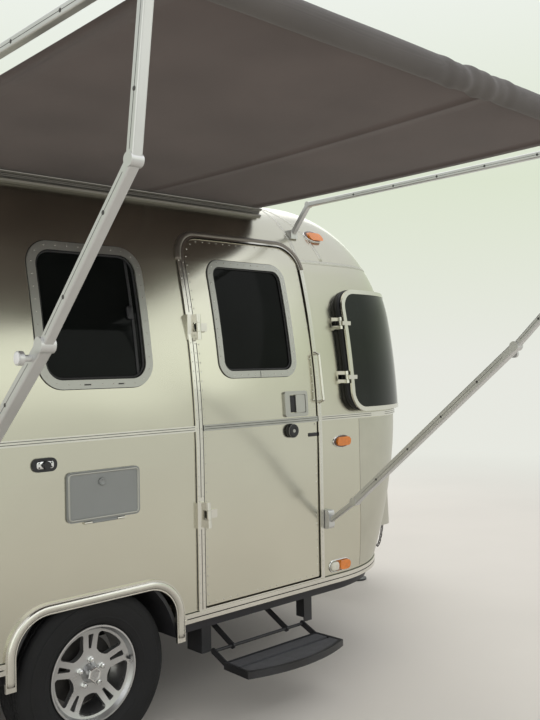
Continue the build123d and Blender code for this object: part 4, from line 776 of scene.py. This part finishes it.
# Clear film over the lower front cap, between the belt and the sill rail
FILM_RUN = -100.0
FILM_Z = (540.0, 1362.0)
FILM_OUT = 0.0009
film_bm = bmesh.new()
half_runs = steps(FILM_RUN, nose_run, 40.0)
stations = [(-1, run) for run in half_runs] + [(1, run) for run in reversed(half_runs[:-1])]
film_rows = []
for z in steps(*FILM_Z, 45.0):
    hits = [round_corner(BODY, side, run, z) for side, run in stations]
    film_rows.append([film_bm.verts.new(point + normal * FILM_OUT) for point, normal in hits])
for low, high in zip(film_rows, film_rows[1:]):
    for index in range(len(low) - 1):
        film_bm.faces.new((low[index], low[index + 1], high[index + 1], high[index]))
finish_mesh("front_film", film_bm, FILM)

# Service hatch: raised rim and round lock
HATCH_PLATE = (27.0, 1137.0, 180.0, 105.0, 22.0)
HATCH_LOCK = (14.0, 1192.0)
hatch_bm = bmesh.new()
rim = trace(HATCH_LEAF, -1, around(*HATCH_PLATE, -9.0))
add_ribbon(hatch_bm, rim, half_round(0.010, 0.004), closed=True)
finish_mesh("hatch_rim", hatch_bm, FLANGE, "service_hatch")
hatch_lock_bm = bmesh.new()
point, normal = on_side(HATCH_LEAF, -1, *HATCH_LOCK)
LOCK_RINGS = ((1.0, -0.2), (1.0, 0.7), (0.85, 1.0), (0.6, 1.0), (0.5, 0.8), (0.2, 0.8))
add_dome(hatch_lock_bm, point, normal, 0.017, 0.008, 20, rings=LOCK_RINGS)
finish_mesh("hatch_lock", hatch_lock_bm, HATCH, "service_hatch")

# Door lock, keeper plate and the dark well behind the paddle
DOOR_LOCK = (1160.0, 1330.0)
PADDLE_WELL = (1196.0, 1468.0, 40.0, 44.0, 6.0)
KEEPER = (1322.0, 1299.0, 32.0, 9.5, 3.0)
KNOB_DEPTH = 0.023
lock_bm = bmesh.new()
point, normal = on_side(DOOR_PARTS, -1, *DOOR_LOCK)
KNOB_RINGS = ((1.03, 0.0), (1.03, 0.8), (0.97, 0.97), (0.80, 1.04), (0.34, 1.05), (0.30, 1.0))
add_dome(lock_bm, point - normal * KNOB_DEPTH, normal, 0.035, 0.0245, 28, rings=KNOB_RINGS)
add_plate(lock_bm, trace(DOOR, -1, around(*PADDLE_WELL, 0.0, 12.0)), -0.001, 0.0035)
finish_mesh("door_lock", lock_bm, GASKET, "entry_door")
barrel_bm = bmesh.new()
add_dome(barrel_bm, point, normal, 0.0095, 0.004, 18, rings=LOCK_RINGS)
finish_mesh("door_lock_barrel", barrel_bm, FLANGE, "entry_door")
keeper_bm = bmesh.new()
add_plate(keeper_bm, trace(DOOR_PARTS, -1, around(*KEEPER, 0.0, 10.0)), -0.001, 0.006)
finish_mesh("door_keeper", keeper_bm, BLACK, "entry_door")

# Silver insert of the door catch, with its slot and screws
CATCH_X = -250.0
CATCH_Z = 1286.0
OUT = Vector((0, -1, 0))
SCREW_DX = 28.0
SCREW_DZ = 9.0
catch_bm = bmesh.new()
slot_bm = bmesh.new()
catch_y = on_side(CATCH, -1, CATCH_X + 30, CATCH_Z)[0].y * 1000
for bm, size, high in ((catch_bm, (38.0, 15.0, 9.0), 0.003), (slot_bm, (20.0, 3.5, 2.0), 0.0042)):
    outline = around(CATCH_X, CATCH_Z, *size, pitch=6.0)
    add_plate(bm, [(at(x, catch_y, z), OUT) for x, z in outline], -0.004, high, 0.001)
for dx in (-SCREW_DX, SCREW_DX):
    for dz in (SCREW_DZ, -SCREW_DZ):
        add_dome(slot_bm, at(CATCH_X + dx, catch_y - 3, CATCH_Z + dz), OUT, 0.0035, 0.002, 8)
finish_mesh("catch_insert", catch_bm, CHROME)
finish_mesh("catch_slot", slot_bm, GASKET)

# Rounded bead of each wheel arch's trim, and dark lines of painted shade at the edges beside the door's trim
# and along the sill
ARCH_BEAD = (-412.5, 422.5, 200.0, 702.5, 172.5, 20.0)
ARCH_END_Z = 416.0
SILL_RUNS = (-2340.0, 1560.0)
# Surface, height and width of each line along the sill
SILL_LINES = ((SILL, 506.5, 0.0045), (BODY, 529.5, 0.003))
# Surface and place along the wall of each line beside the doorway
DOORWAY_LINES = (
    (BODY, DOOR_REAR_X - 43.5), (MOULDINGS, DOOR_REAR_X - 21.0),
    (MOULDINGS, DOOR_REAR_X - 1.0), (BODY, DOOR_FRONT_X + 26.0),
)
arch_bm = bmesh.new()
edge_bm = bmesh.new()
arch_path = kept_run(rounded(*ARCH_BEAD, pitch=20.0), lambda point: point[1] > ARCH_END_Z)
for side in (-1, 1):
    add_ribbon(arch_bm, trace(ARCHES, side, arch_path), half_round(0.034, 0.011, points=9))
    for tree, z, width in SILL_LINES:
        line = [round_corner(tree, side, run, z) for run in steps(*SILL_RUNS, 20.0)]
        add_line(edge_bm, line, strip(width, 0.0012), 0.06)
finish_mesh("arch_beads", arch_bm, TRIM)
for tree, x in DOORWAY_LINES:
    line = side_line(tree, -1, x, DOOR_LOW_Z, x, DOOR_HIGH_Z - 130, 25.0)
    add_line(edge_bm, line, strip(0.003, 0.0012))
finish_mesh("trim_lines", edge_bm, LINE)

# Left side's service panels: rims, locks, and louvres over the long one, the louvres drawn as dark strips of
# painted shade
PANELS = ((-300.0, 900.0, 210.0, 130.0), (680.0, 820.0, 90.0, 80.0), (980.0, 1120.0, 75.0, 75.0))
LOUVRE_IN = 35.0
LOUVRE_PITCH = 22.0
LOCK_IN = 28.0
panel_bm = bmesh.new()
louvre_bm = bmesh.new()
for index, (x, z, half_l, half_h) in enumerate(PANELS):
    rim = trace(LEFT_PANELS, 1, around(x, z, half_l, half_h, 20.0, -10.0))
    add_ribbon(panel_bm, rim, half_round(0.008, 0.004), closed=True)
    if index == 0:
        reach = half_l - LOUVRE_IN
        for row in steps(z - half_h + LOUVRE_IN, z + half_h - LOUVRE_IN, LOUVRE_PITCH):
            louvre = side_line(LEFT_PANELS, 1, x - reach, row, x + reach, row)
            add_ribbon(louvre_bm, louvre, strip(0.009, 0.004))
    else:
        point, normal = on_side(LEFT_PANELS, 1, x, z + half_h - LOCK_IN)
        add_dome(panel_bm, point, normal, 0.014, 0.008, 20, rings=LOCK_RINGS)
finish_mesh("panel_rims", panel_bm, FLANGE)
finish_mesh("panel_louvres", louvre_bm, LINE)

# Roof: gasket and screws round the air conditioner and the vent
ROOF_Z = 2625.0
# Centre along the roof, half length and half width of each unit
ROOF_UNITS = ((500.0, 450.0, 340.0), (-230.0, 210.0, 210.0))
SCREW_PITCH = 0.15
UP = Vector((0, 0, 1))
GASKET_H = 0.005
roof_bm = bmesh.new()
screw_bm = bmesh.new()
for x, half_l, half_w in ROOF_UNITS:
    skirt = [(at(u, v, ROOF_Z), UP) for u, v in around(x, 0.0, half_l, half_w, 3.0, 9.0, 60.0)]
    add_ribbon(roof_bm, skirt, strip(0.022, GASKET_H), closed=True)
    for point, normal in walk(skirt + skirt[:1], SCREW_PITCH):
        add_dome(screw_bm, point + normal * GASKET_H, normal, 0.005, 0.003, 8)
finish_mesh("roof_gaskets", roof_bm, GASKET)
finish_mesh("roof_screws", screw_bm, RIVET)

# Awning: the cloth sags a little between rail and roller, with hems at its ends and one sewn seam
CLOTH_X = (-800.0, 1250.0)
LIP_Y = 885.0
LIP_Z = 2542.0
ROLLER_Y = 2860.0
ROLLER_Z = 2560.0
ROLLER_R = 39.0
CLOTH_SAG = 14.0
HEM_W = 46.0
SEAM_X = 530.0
SEAM_W = 16.0
FOLD_DROP = 2.4
FOLD_EDGE = 1.5
OUT_COUNT = 44
DOUBLED = (
    (CLOTH_X[0], CLOTH_X[0] + HEM_W), (SEAM_X - SEAM_W, SEAM_X), (CLOTH_X[1] - HEM_W, CLOTH_X[1]),
)
columns = []
bends = [x for low, high in DOUBLED for x in (low - FOLD_EDGE, low, high, high + FOLD_EDGE)][1:-1]
for left, right in zip(bends, bends[1:]):
    columns += steps(left, right, 55.0)[:-1]
columns.append(CLOTH_X[1])


def folded(x):
    """Drop of the cloth's underside where it lies double: hems and seam."""
    return FOLD_DROP if any(low - 0.5 < x < high + 0.5 for low, high in DOUBLED) else 0.0


cloth_bm = bmesh.new()
end_y = ROLLER_Y - ROLLER_R - 1
grid = []
for step in range(OUT_COUNT + 1):
    share = step / OUT_COUNT
    row = []
    for x in columns:
        along = (x - CLOTH_X[0]) / (CLOTH_X[1] - CLOTH_X[0])
        sag = CLOTH_SAG * 4 * share * (1 - share) * (0.55 + 0.45 * sin(pi * along))
        y = LIP_Y + (end_y - LIP_Y) * share
        z = LIP_Z + (ROLLER_Z - LIP_Z) * share - sag - folded(x)
        row.append(cloth_bm.verts.new(at(x, -y, z)))
    grid.append(row)
for low, high in zip(grid, grid[1:]):
    for index, (left, right) in enumerate(zip(columns, columns[1:])):
        face = cloth_bm.faces.new((low[index], low[index + 1], high[index + 1], high[index]))
        # Doubled cloth takes the hem copy, whose darker colour is painted shade
        face.material_index = 1 if folded(left) and folded(right) else 0
cloth = finish_mesh("awning_cloth", cloth_bm, CLOTH)
cloth.data.materials.append(HEM)
thick = cloth.modifiers.new("thickness", "SOLIDIFY")
thick.thickness = 0.0012
thick.offset = 0
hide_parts("awning_fabric")

# Roller with the wound cloth on it, puckered beside the cloth's seam, and a metal cap at each end
ROLL_X = (-849.7, 1393.7)
ROLL_CLOTH_X = (-830.0, 1374.0)
ROLL_SIDES = 40
CAP_IN = 6.0
PUCKER_X = 380.0
PUCKER_REACH = 290.0
PUCKER_H = 4.4
roll_bm = bmesh.new()


def pucker(x, angle):
    """Height of the wound cloth's wrinkles, in millimetres."""
    near = max(0.0, 1 - abs(x - PUCKER_X) / PUCKER_REACH)
    crease = sin(x / 27.0 + 2.2 * sin(angle + 0.6)) + 0.5 * sin(x / 11.0 - 1.7 * angle)
    return 0.5 * sin(x / 90.0 + angle) + PUCKER_H * near * crease


def add_roll(bm, stations, radius_at):
    """Closed round bar along x from stations and a radius at each station and angle."""
    loops = []
    for x in stations:
        loop = []
        for index in range(ROLL_SIDES):
            angle = 2 * pi * index / ROLL_SIDES
            radius = radius_at(x, angle)
            loop.append(bm.verts.new(at(x, -ROLLER_Y + radius * cos(angle), ROLLER_Z + radius * sin(angle))))
        loops.append(loop)
    skin_loops(bm, loops)


add_roll(roll_bm, steps(*ROLL_CLOTH_X, 9.0), lambda x, angle: ROLLER_R + pucker(x, angle))
roll = finish_mesh("roller_cloth", roll_bm, ROLLED)
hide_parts("awning_roller")
roll_cap_bm = bmesh.new()
for near, far in ((ROLL_X[0], ROLL_CLOTH_X[0] + CAP_IN), (ROLL_CLOTH_X[1] - CAP_IN, ROLL_X[1])):
    add_roll(roll_cap_bm, (near, near + 2, far - 2, far), lambda x, angle: ROLLER_R - 1.0)
finish_mesh("roller_caps", roll_cap_bm, TUBE, smooth=False)

# Ribs along the awning's rail, and a groove with holes along the rear face of each arm and rafter, all drawn
# as dark strips and dots of painted shade
RIB_HEIGHTS = (2515.0, 2525.0, 2534.0, 2543.0, 2551.0)
RIB_X = (-840.0, 1275.0)
ARM_X = (-870.0, 1414.0)
# Points along each arm and rafter: place out from the middle, height and width
ARM_PATH = ((1430.0, 955.0, 38.0), (2380.0, 1740.0, 29.0), (2790.0, 2140.0, 29.0), (2852.0, 2500.0, 29.0))
RAFTER_PATH = ((1241.0, 2545.0, 27.0), (2790.0, 2561.0, 27.0))
GROOVE_SHARES = (0.06, 0.5, 0.94)
HOLE_PITCH = 0.26
REARWARD = Vector((-1, 0, 0))
rail_bm = bmesh.new()
for z in RIB_HEIGHTS:
    line = side_line(AWNING_RAIL, -1, RIB_X[0], z, RIB_X[1], z, 200.0)
    add_line(rail_bm, line, strip(0.0028, 0.0008), 0.5)
for x in ARM_X:
    for path in (ARM_PATH, RAFTER_PATH):
        for (y0, z0, width), (y1, z1, _) in zip(path, path[1:]):
            start = at(x - width / 2, -y0, z0)
            end = at(x - width / 2, -y1, z1)
            line = [(start.lerp(end, share), REARWARD) for share in GROOVE_SHARES]
            add_ribbon(rail_bm, line, strip(0.0016, 0.0004))
            for point, normal in walk(line, HOLE_PITCH):
                add_dome(rail_bm, point, normal, 0.0062, 0.0012, 12)
finish_mesh("awning_grooves", rail_bm, LINE)

# White discs on the arms' knobs
KNOB_Y = 2340.0
KNOB_Z = 1707.0
KNOB_OUT = 58.0
DISC_RINGS = ((1.0, -0.3), (1.0, 0.6), (0.85, 1.0))
knob_bm = bmesh.new()
for x, outward in zip(ARM_X, (-1, 1)):
    place = at(x + outward * KNOB_OUT, -KNOB_Y, KNOB_Z)
    add_dome(knob_bm, place, Vector((outward, 0, 0)), 0.0155, 0.003, 24, rings=DISC_RINGS)
finish_mesh("knob_discs", knob_bm, WHITE)

# Free ends of the safety chains, led forward and hooked up beside the coupler
LINK_PITCH = 0.0245
LINK_HALF = 0.0105
LINK_R = 0.0085
LINK_BAR = 0.0034
LINK_STEPS = 14
HOOK_R = 0.016
HOOK_HALF_H = 0.024
HOOK_RISE = 0.034
HOOK_ANGLES = (-70.0, 170.0, 20.0)
CURVE_STEPS = 200
CHAIN_Y = 88.0
CHAIN_FROM = at(3184, 0, 256)
CHAIN_LOW = at(3236, 0, 205)
CHAIN_TO = at(3278, 0, 446)
chain_bm = bmesh.new()


def curve_at(share):
    """Point on the chain's hanging curve, at mid plane."""
    first = CHAIN_FROM.lerp(CHAIN_LOW, share)
    return first.lerp(CHAIN_LOW.lerp(CHAIN_TO, share), share)


for side in (-1, 1):
    aside = Vector((0, side * CHAIN_Y / 1000, 0))
    fine = [curve_at(step / CURVE_STEPS) + aside for step in range(CURVE_STEPS + 1)]
    travelled = 0.0
    link = 0
    for before, place in zip(fine, fine[1:]):
        travelled += (place - before).length
        if travelled < LINK_PITCH * (link + 0.5):
            continue
        along = (place - before).normalized()
        across = along.cross(Vector((0, 1, 0))) if link % 2 else Vector((0, 1, 0))
        ring = []
        for index in range(LINK_STEPS):
            angle = 2 * pi * index / LINK_STEPS
            end = LINK_HALF if cos(angle) > 0 else -LINK_HALF
            ring.append(place + along * (end + LINK_R * cos(angle)) + across * LINK_R * sin(angle))
        add_tube(chain_bm, ring, LINK_BAR, 6, closed=True)
        link += 1
    hook = []
    for angle in steps(*HOOK_ANGLES):
        offset = Vector((HOOK_R * cos(radians(angle)), 0, HOOK_RISE + HOOK_HALF_H * sin(radians(angle))))
        hook.append(CHAIN_TO + aside + offset)
    add_tube(chain_bm, hook, 0.0048, 8)
finish_mesh("chain_ends", chain_bm, CAST)

# Tyres with ribs, sipes and sidewall rings, over the same section as the solids
TYRE_R = 359.5
TYRE_Y = 1085.0
# Flank from bead to shoulder: radius and offset from the tyre's middle
TYRE_PROFILE = (
    (196.3, 75.7), (206.0, 76.2), (212.0, 82.0), (217.0, 88.0), (226.0, 96.0), (240.0, 103.0),
    (244.0, 105.6), (250.0, 105.4), (262.0, 108.6), (276.0, 110.4), (290.0, 110.6), (304.0, 109.2),
    (307.0, 110.0), (311.0, 109.6), (313.0, 107.4), (324.0, 105.0), (334.0, 101.4), (341.0, 97.6),
    (349.0, 92.0), (353.5, 86.0), (356.5, 80.0),
)
TREAD_OFFSETS = (78, 64, 62, 58, 56, 42, 36, 30, 28, 12, 6, 0)
TREAD_HALF_W = 80.0
GROOVES = ((62, 58), (36, 30), (12, 6))
GROOVE_DEPTH = 7.0
SIPE_DEPTH = 4.2
SIPE_STEP = 4
TYRE_STEPS = 192
CROWN_DROP = 2.6


def tread_radius(offset, index):
    """Outer radius at an offset from the tyre's middle: grooves run round it, sipes across."""
    crown = TYRE_R - (offset / TREAD_HALF_W) ** 2 * CROWN_DROP
    if any(low <= offset <= high for high, low in GROOVES):
        return crown - GROOVE_DEPTH
    shift = 0 if offset < 20 else (1 if offset < 50 else 2)
    return crown - SIPE_DEPTH if (index + shift) % SIPE_STEP == 0 else crown


def make_tyre(side, word):
    """Tyre piece that stands for the plain solid."""
    bm = bmesh.new()
    rings = []
    for index in range(TYRE_STEPS):
        angle = 2 * pi * index / TYRE_STEPS
        half = [*TYRE_PROFILE, *((tread_radius(offset, index), offset) for offset in TREAD_OFFSETS)]
        section = half + [(radius, -offset) for radius, offset in reversed(half[:-1])]
        rings.append([
            bm.verts.new(at(radius * cos(angle), side * TYRE_Y + offset, TYRE_R + radius * sin(angle)))
            for radius, offset in section
        ])
    skin_loops(bm, rings, closed=True)
    tyre = finish_mesh("tyre_tread_" + word, bm, RUBBER, "wheel_" + word, False)
    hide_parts("tyre_" + word)


# Hub: washers and six-sided nuts, a six-sided cap and the tyre's valve
HUB_OUT = 51.0
LUG_RADIUS = 57.15
LUGS = 5
HUB_CAP_OUT = 77.0
VALVE_RADIUS = 182.0
VALVE_ANGLE = radians(8)
VALVE_OUT = 67.0
WASHER_RINGS = ((1.0, 0.0), (0.94, 1.0), (0.7, 1.0))
NUT_RINGS = ((1.0, 0.0), (1.0, 0.72), (0.86, 1.0), (0.5, 1.12))
HUB_CAP_RINGS = ((1.0, 0.0), (1.0, 0.8), (0.9, 1.0), (0.72, 1.0), (0.66, 0.8))
VALVE_RINGS = ((1.0, 0.0), (0.9, 0.6), (0.6, 0.7), (0.6, 1.0))


def make_hub(side, word):
    """Nuts, cap and valve of one wheel, on its outer face."""
    out = Vector((0, side, 0))
    nuts = bmesh.new()
    for index in range(LUGS):
        angle = radians(90 + index * 360 / LUGS)
        place = at(LUG_RADIUS * cos(angle), side * (TYRE_Y + HUB_OUT), TYRE_R + LUG_RADIUS * sin(angle))
        add_dome(nuts, place, out, 0.0155, 0.004, 18, rings=WASHER_RINGS)
        add_dome(nuts, place, out, 0.0122, 0.018, 6, rings=NUT_RINGS)
    add_dome(nuts, at(0, side * (TYRE_Y + HUB_CAP_OUT), TYRE_R), out, 0.034, 0.015, 6, 0.3, HUB_CAP_RINGS)
    finish_mesh("lug_nuts_" + word, nuts, CHROME, "wheel_" + word, False)
    valve = bmesh.new()
    valve_x = side * -VALVE_RADIUS * cos(VALVE_ANGLE)
    place = at(valve_x, side * (TYRE_Y + VALVE_OUT), TYRE_R + VALVE_RADIUS * sin(VALVE_ANGLE))
    add_dome(valve, place, out, 0.006, 0.020, 10, rings=VALVE_RINGS)
    finish_mesh("valve_" + word, valve, BLACK, "wheel_" + word)


for side, word in ((-1, "right"), (1, "left")):
    make_tyre(side, word)
    make_hub(side, word)

# Floor, which fades into the backdrop far from the object
BACKDROP = (0.80, 0.81, 0.75)
FLOOR_HALF = 60.0
FADE = (4.5, 12.0)
VIEWED_X = 400.0
floor_z = at(0, 0, 0).z
floor_mesh = bpy.data.meshes.new("floor_plane")
CORNERS = ((-1, -1), (1, -1), (1, 1), (-1, 1))
floor_mesh.from_pydata([(x * FLOOR_HALF, y * FLOOR_HALF, floor_z) for x, y in CORNERS], [], [(0, 1, 2, 3)])
floor = add_object("floor_plane", floor_mesh)
pale = material("pale_floor", (0.72, 0.68, 0.61), 0.0, (0.85, 0.95), 0.03, 0.6, 20.0, 0.05, specular=0.1)
floor_mesh.materials.append(pale)


def seen_rays(tree):
    """One for rays from the camera, from a mirror or through glass, and nought for the light's own."""
    kinds = add_node(tree, "ShaderNodeLightPath").outputs
    mirrored = math_node(tree, "MAXIMUM", kinds["Is Camera Ray"], kinds["Is Glossy Ray"])
    return math_node(tree, "MAXIMUM", mirrored, kinds["Is Transmission Ray"])


tree = pale.node_tree
surface_out = next(node for node in tree.nodes if node.type == "OUTPUT_MATERIAL")
lit = surface_out.inputs["Surface"].links[0].from_socket
glow = add_node(tree, "ShaderNodeEmission", {"Color": (*BACKDROP, 1)})
place = add_node(tree, "ShaderNodeNewGeometry").outputs["Position"]
away = measure_node(tree, "DISTANCE", place, at(VIEWED_X, 0, 0))
share = math_node(tree, "MULTIPLY", map_range(tree, away, FADE, ease="SMOOTHSTEP"), seen_rays(tree))
mixed = mix_shaders(tree, share, lit, glow.outputs["Emission"])
tree.links.new(mixed, surface_out.inputs["Surface"])

# World: an even light, and a pale backdrop that camera, metal and glass see
AMBIENT = 0.8
AMBIENT_COLOUR = (0.95, 0.97, 1.0, 1)
# Height, as a share of the way up, and colour of the backdrop's upper bands
BANDS = ((0.2, (0.72, 0.78, 0.63)), (0.55, (0.95, 0.97, 0.98)))
world = bpy.data.worlds.new("studio")
bpy.context.scene.world = world
world.use_nodes = True
tree = world.node_tree
tree.nodes.clear()
ambient = add_node(tree, "ShaderNodeBackground", {"Color": AMBIENT_COLOUR, "Strength": AMBIENT})
way = add_node(tree, "ShaderNodeTexCoord").outputs["Generated"]
split = add_node(tree, "ShaderNodeSeparateXYZ", {"Vector": way})
ramp = add_node(tree, "ShaderNodeValToRGB", {"Fac": split.outputs["Z"]})
stops = ramp.color_ramp.elements
stops.remove(stops[1])
stops[0].color = (*BACKDROP, 1)
for height, colour in BANDS:
    stops.new(height).color = (*colour, 1)
backdrop = add_node(tree, "ShaderNodeBackground", {"Color": ramp.outputs["Color"]})
mixed = mix_shaders(tree, seen_rays(tree), ambient.outputs["Background"], backdrop.outputs["Background"])
add_node(tree, "ShaderNodeOutputWorld", {"Surface": mixed})

# Soft square lights: name, place, width in metres and power in watts
LIGHTS = (
    ("key_light", (2600, -7500, 6200), 9.0, 140), ("fill_light", (-5200, -4800, 3600), 6.0, 70),
    ("top_light", (600, 600, 8500), 8.0, 160), ("rim_light", (6500, 5500, 5000), 6.0, 110),
)
VIEWED_Z = 1300.0
for name, place, width, power in LIGHTS:
    light = bpy.data.lights.new(name, "AREA")
    light.energy = power
    light.size = width
    lamp = add_object(name, light)
    way = at(VIEWED_X, 0, VIEWED_Z) - at(*place)
    lamp.matrix_world = Matrix.Translation(at(*place)) @ way.to_track_quat("-Z", "Y").to_matrix().to_4x4()

# Camera at the photographed viewing angle, its place in the row frame's metres
CAMERA_PLACE = (-5.275, -4.367, 1.2165)
YAW = radians(43.375)
PITCH = radians(0.151)
ROLL = radians(-0.944)
camera_data = bpy.data.cameras.new("photo_view")
camera_data.lens = 42.69
camera_data.sensor_width = 36.0
camera_data.clip_end = 200.0
camera = add_object("photo_view", camera_data)
turn = Matrix.Rotation(-YAW, 4, "Z") @ Matrix.Rotation(pi / 2 + PITCH, 4, "X")
camera.matrix_world = Matrix.Translation(CAMERA_PLACE) @ turn @ Matrix.Rotation(ROLL, 4, "Z")
bpy.context.scene.camera = camera
bpy.context.scene.view_settings.view_transform = "Standard"
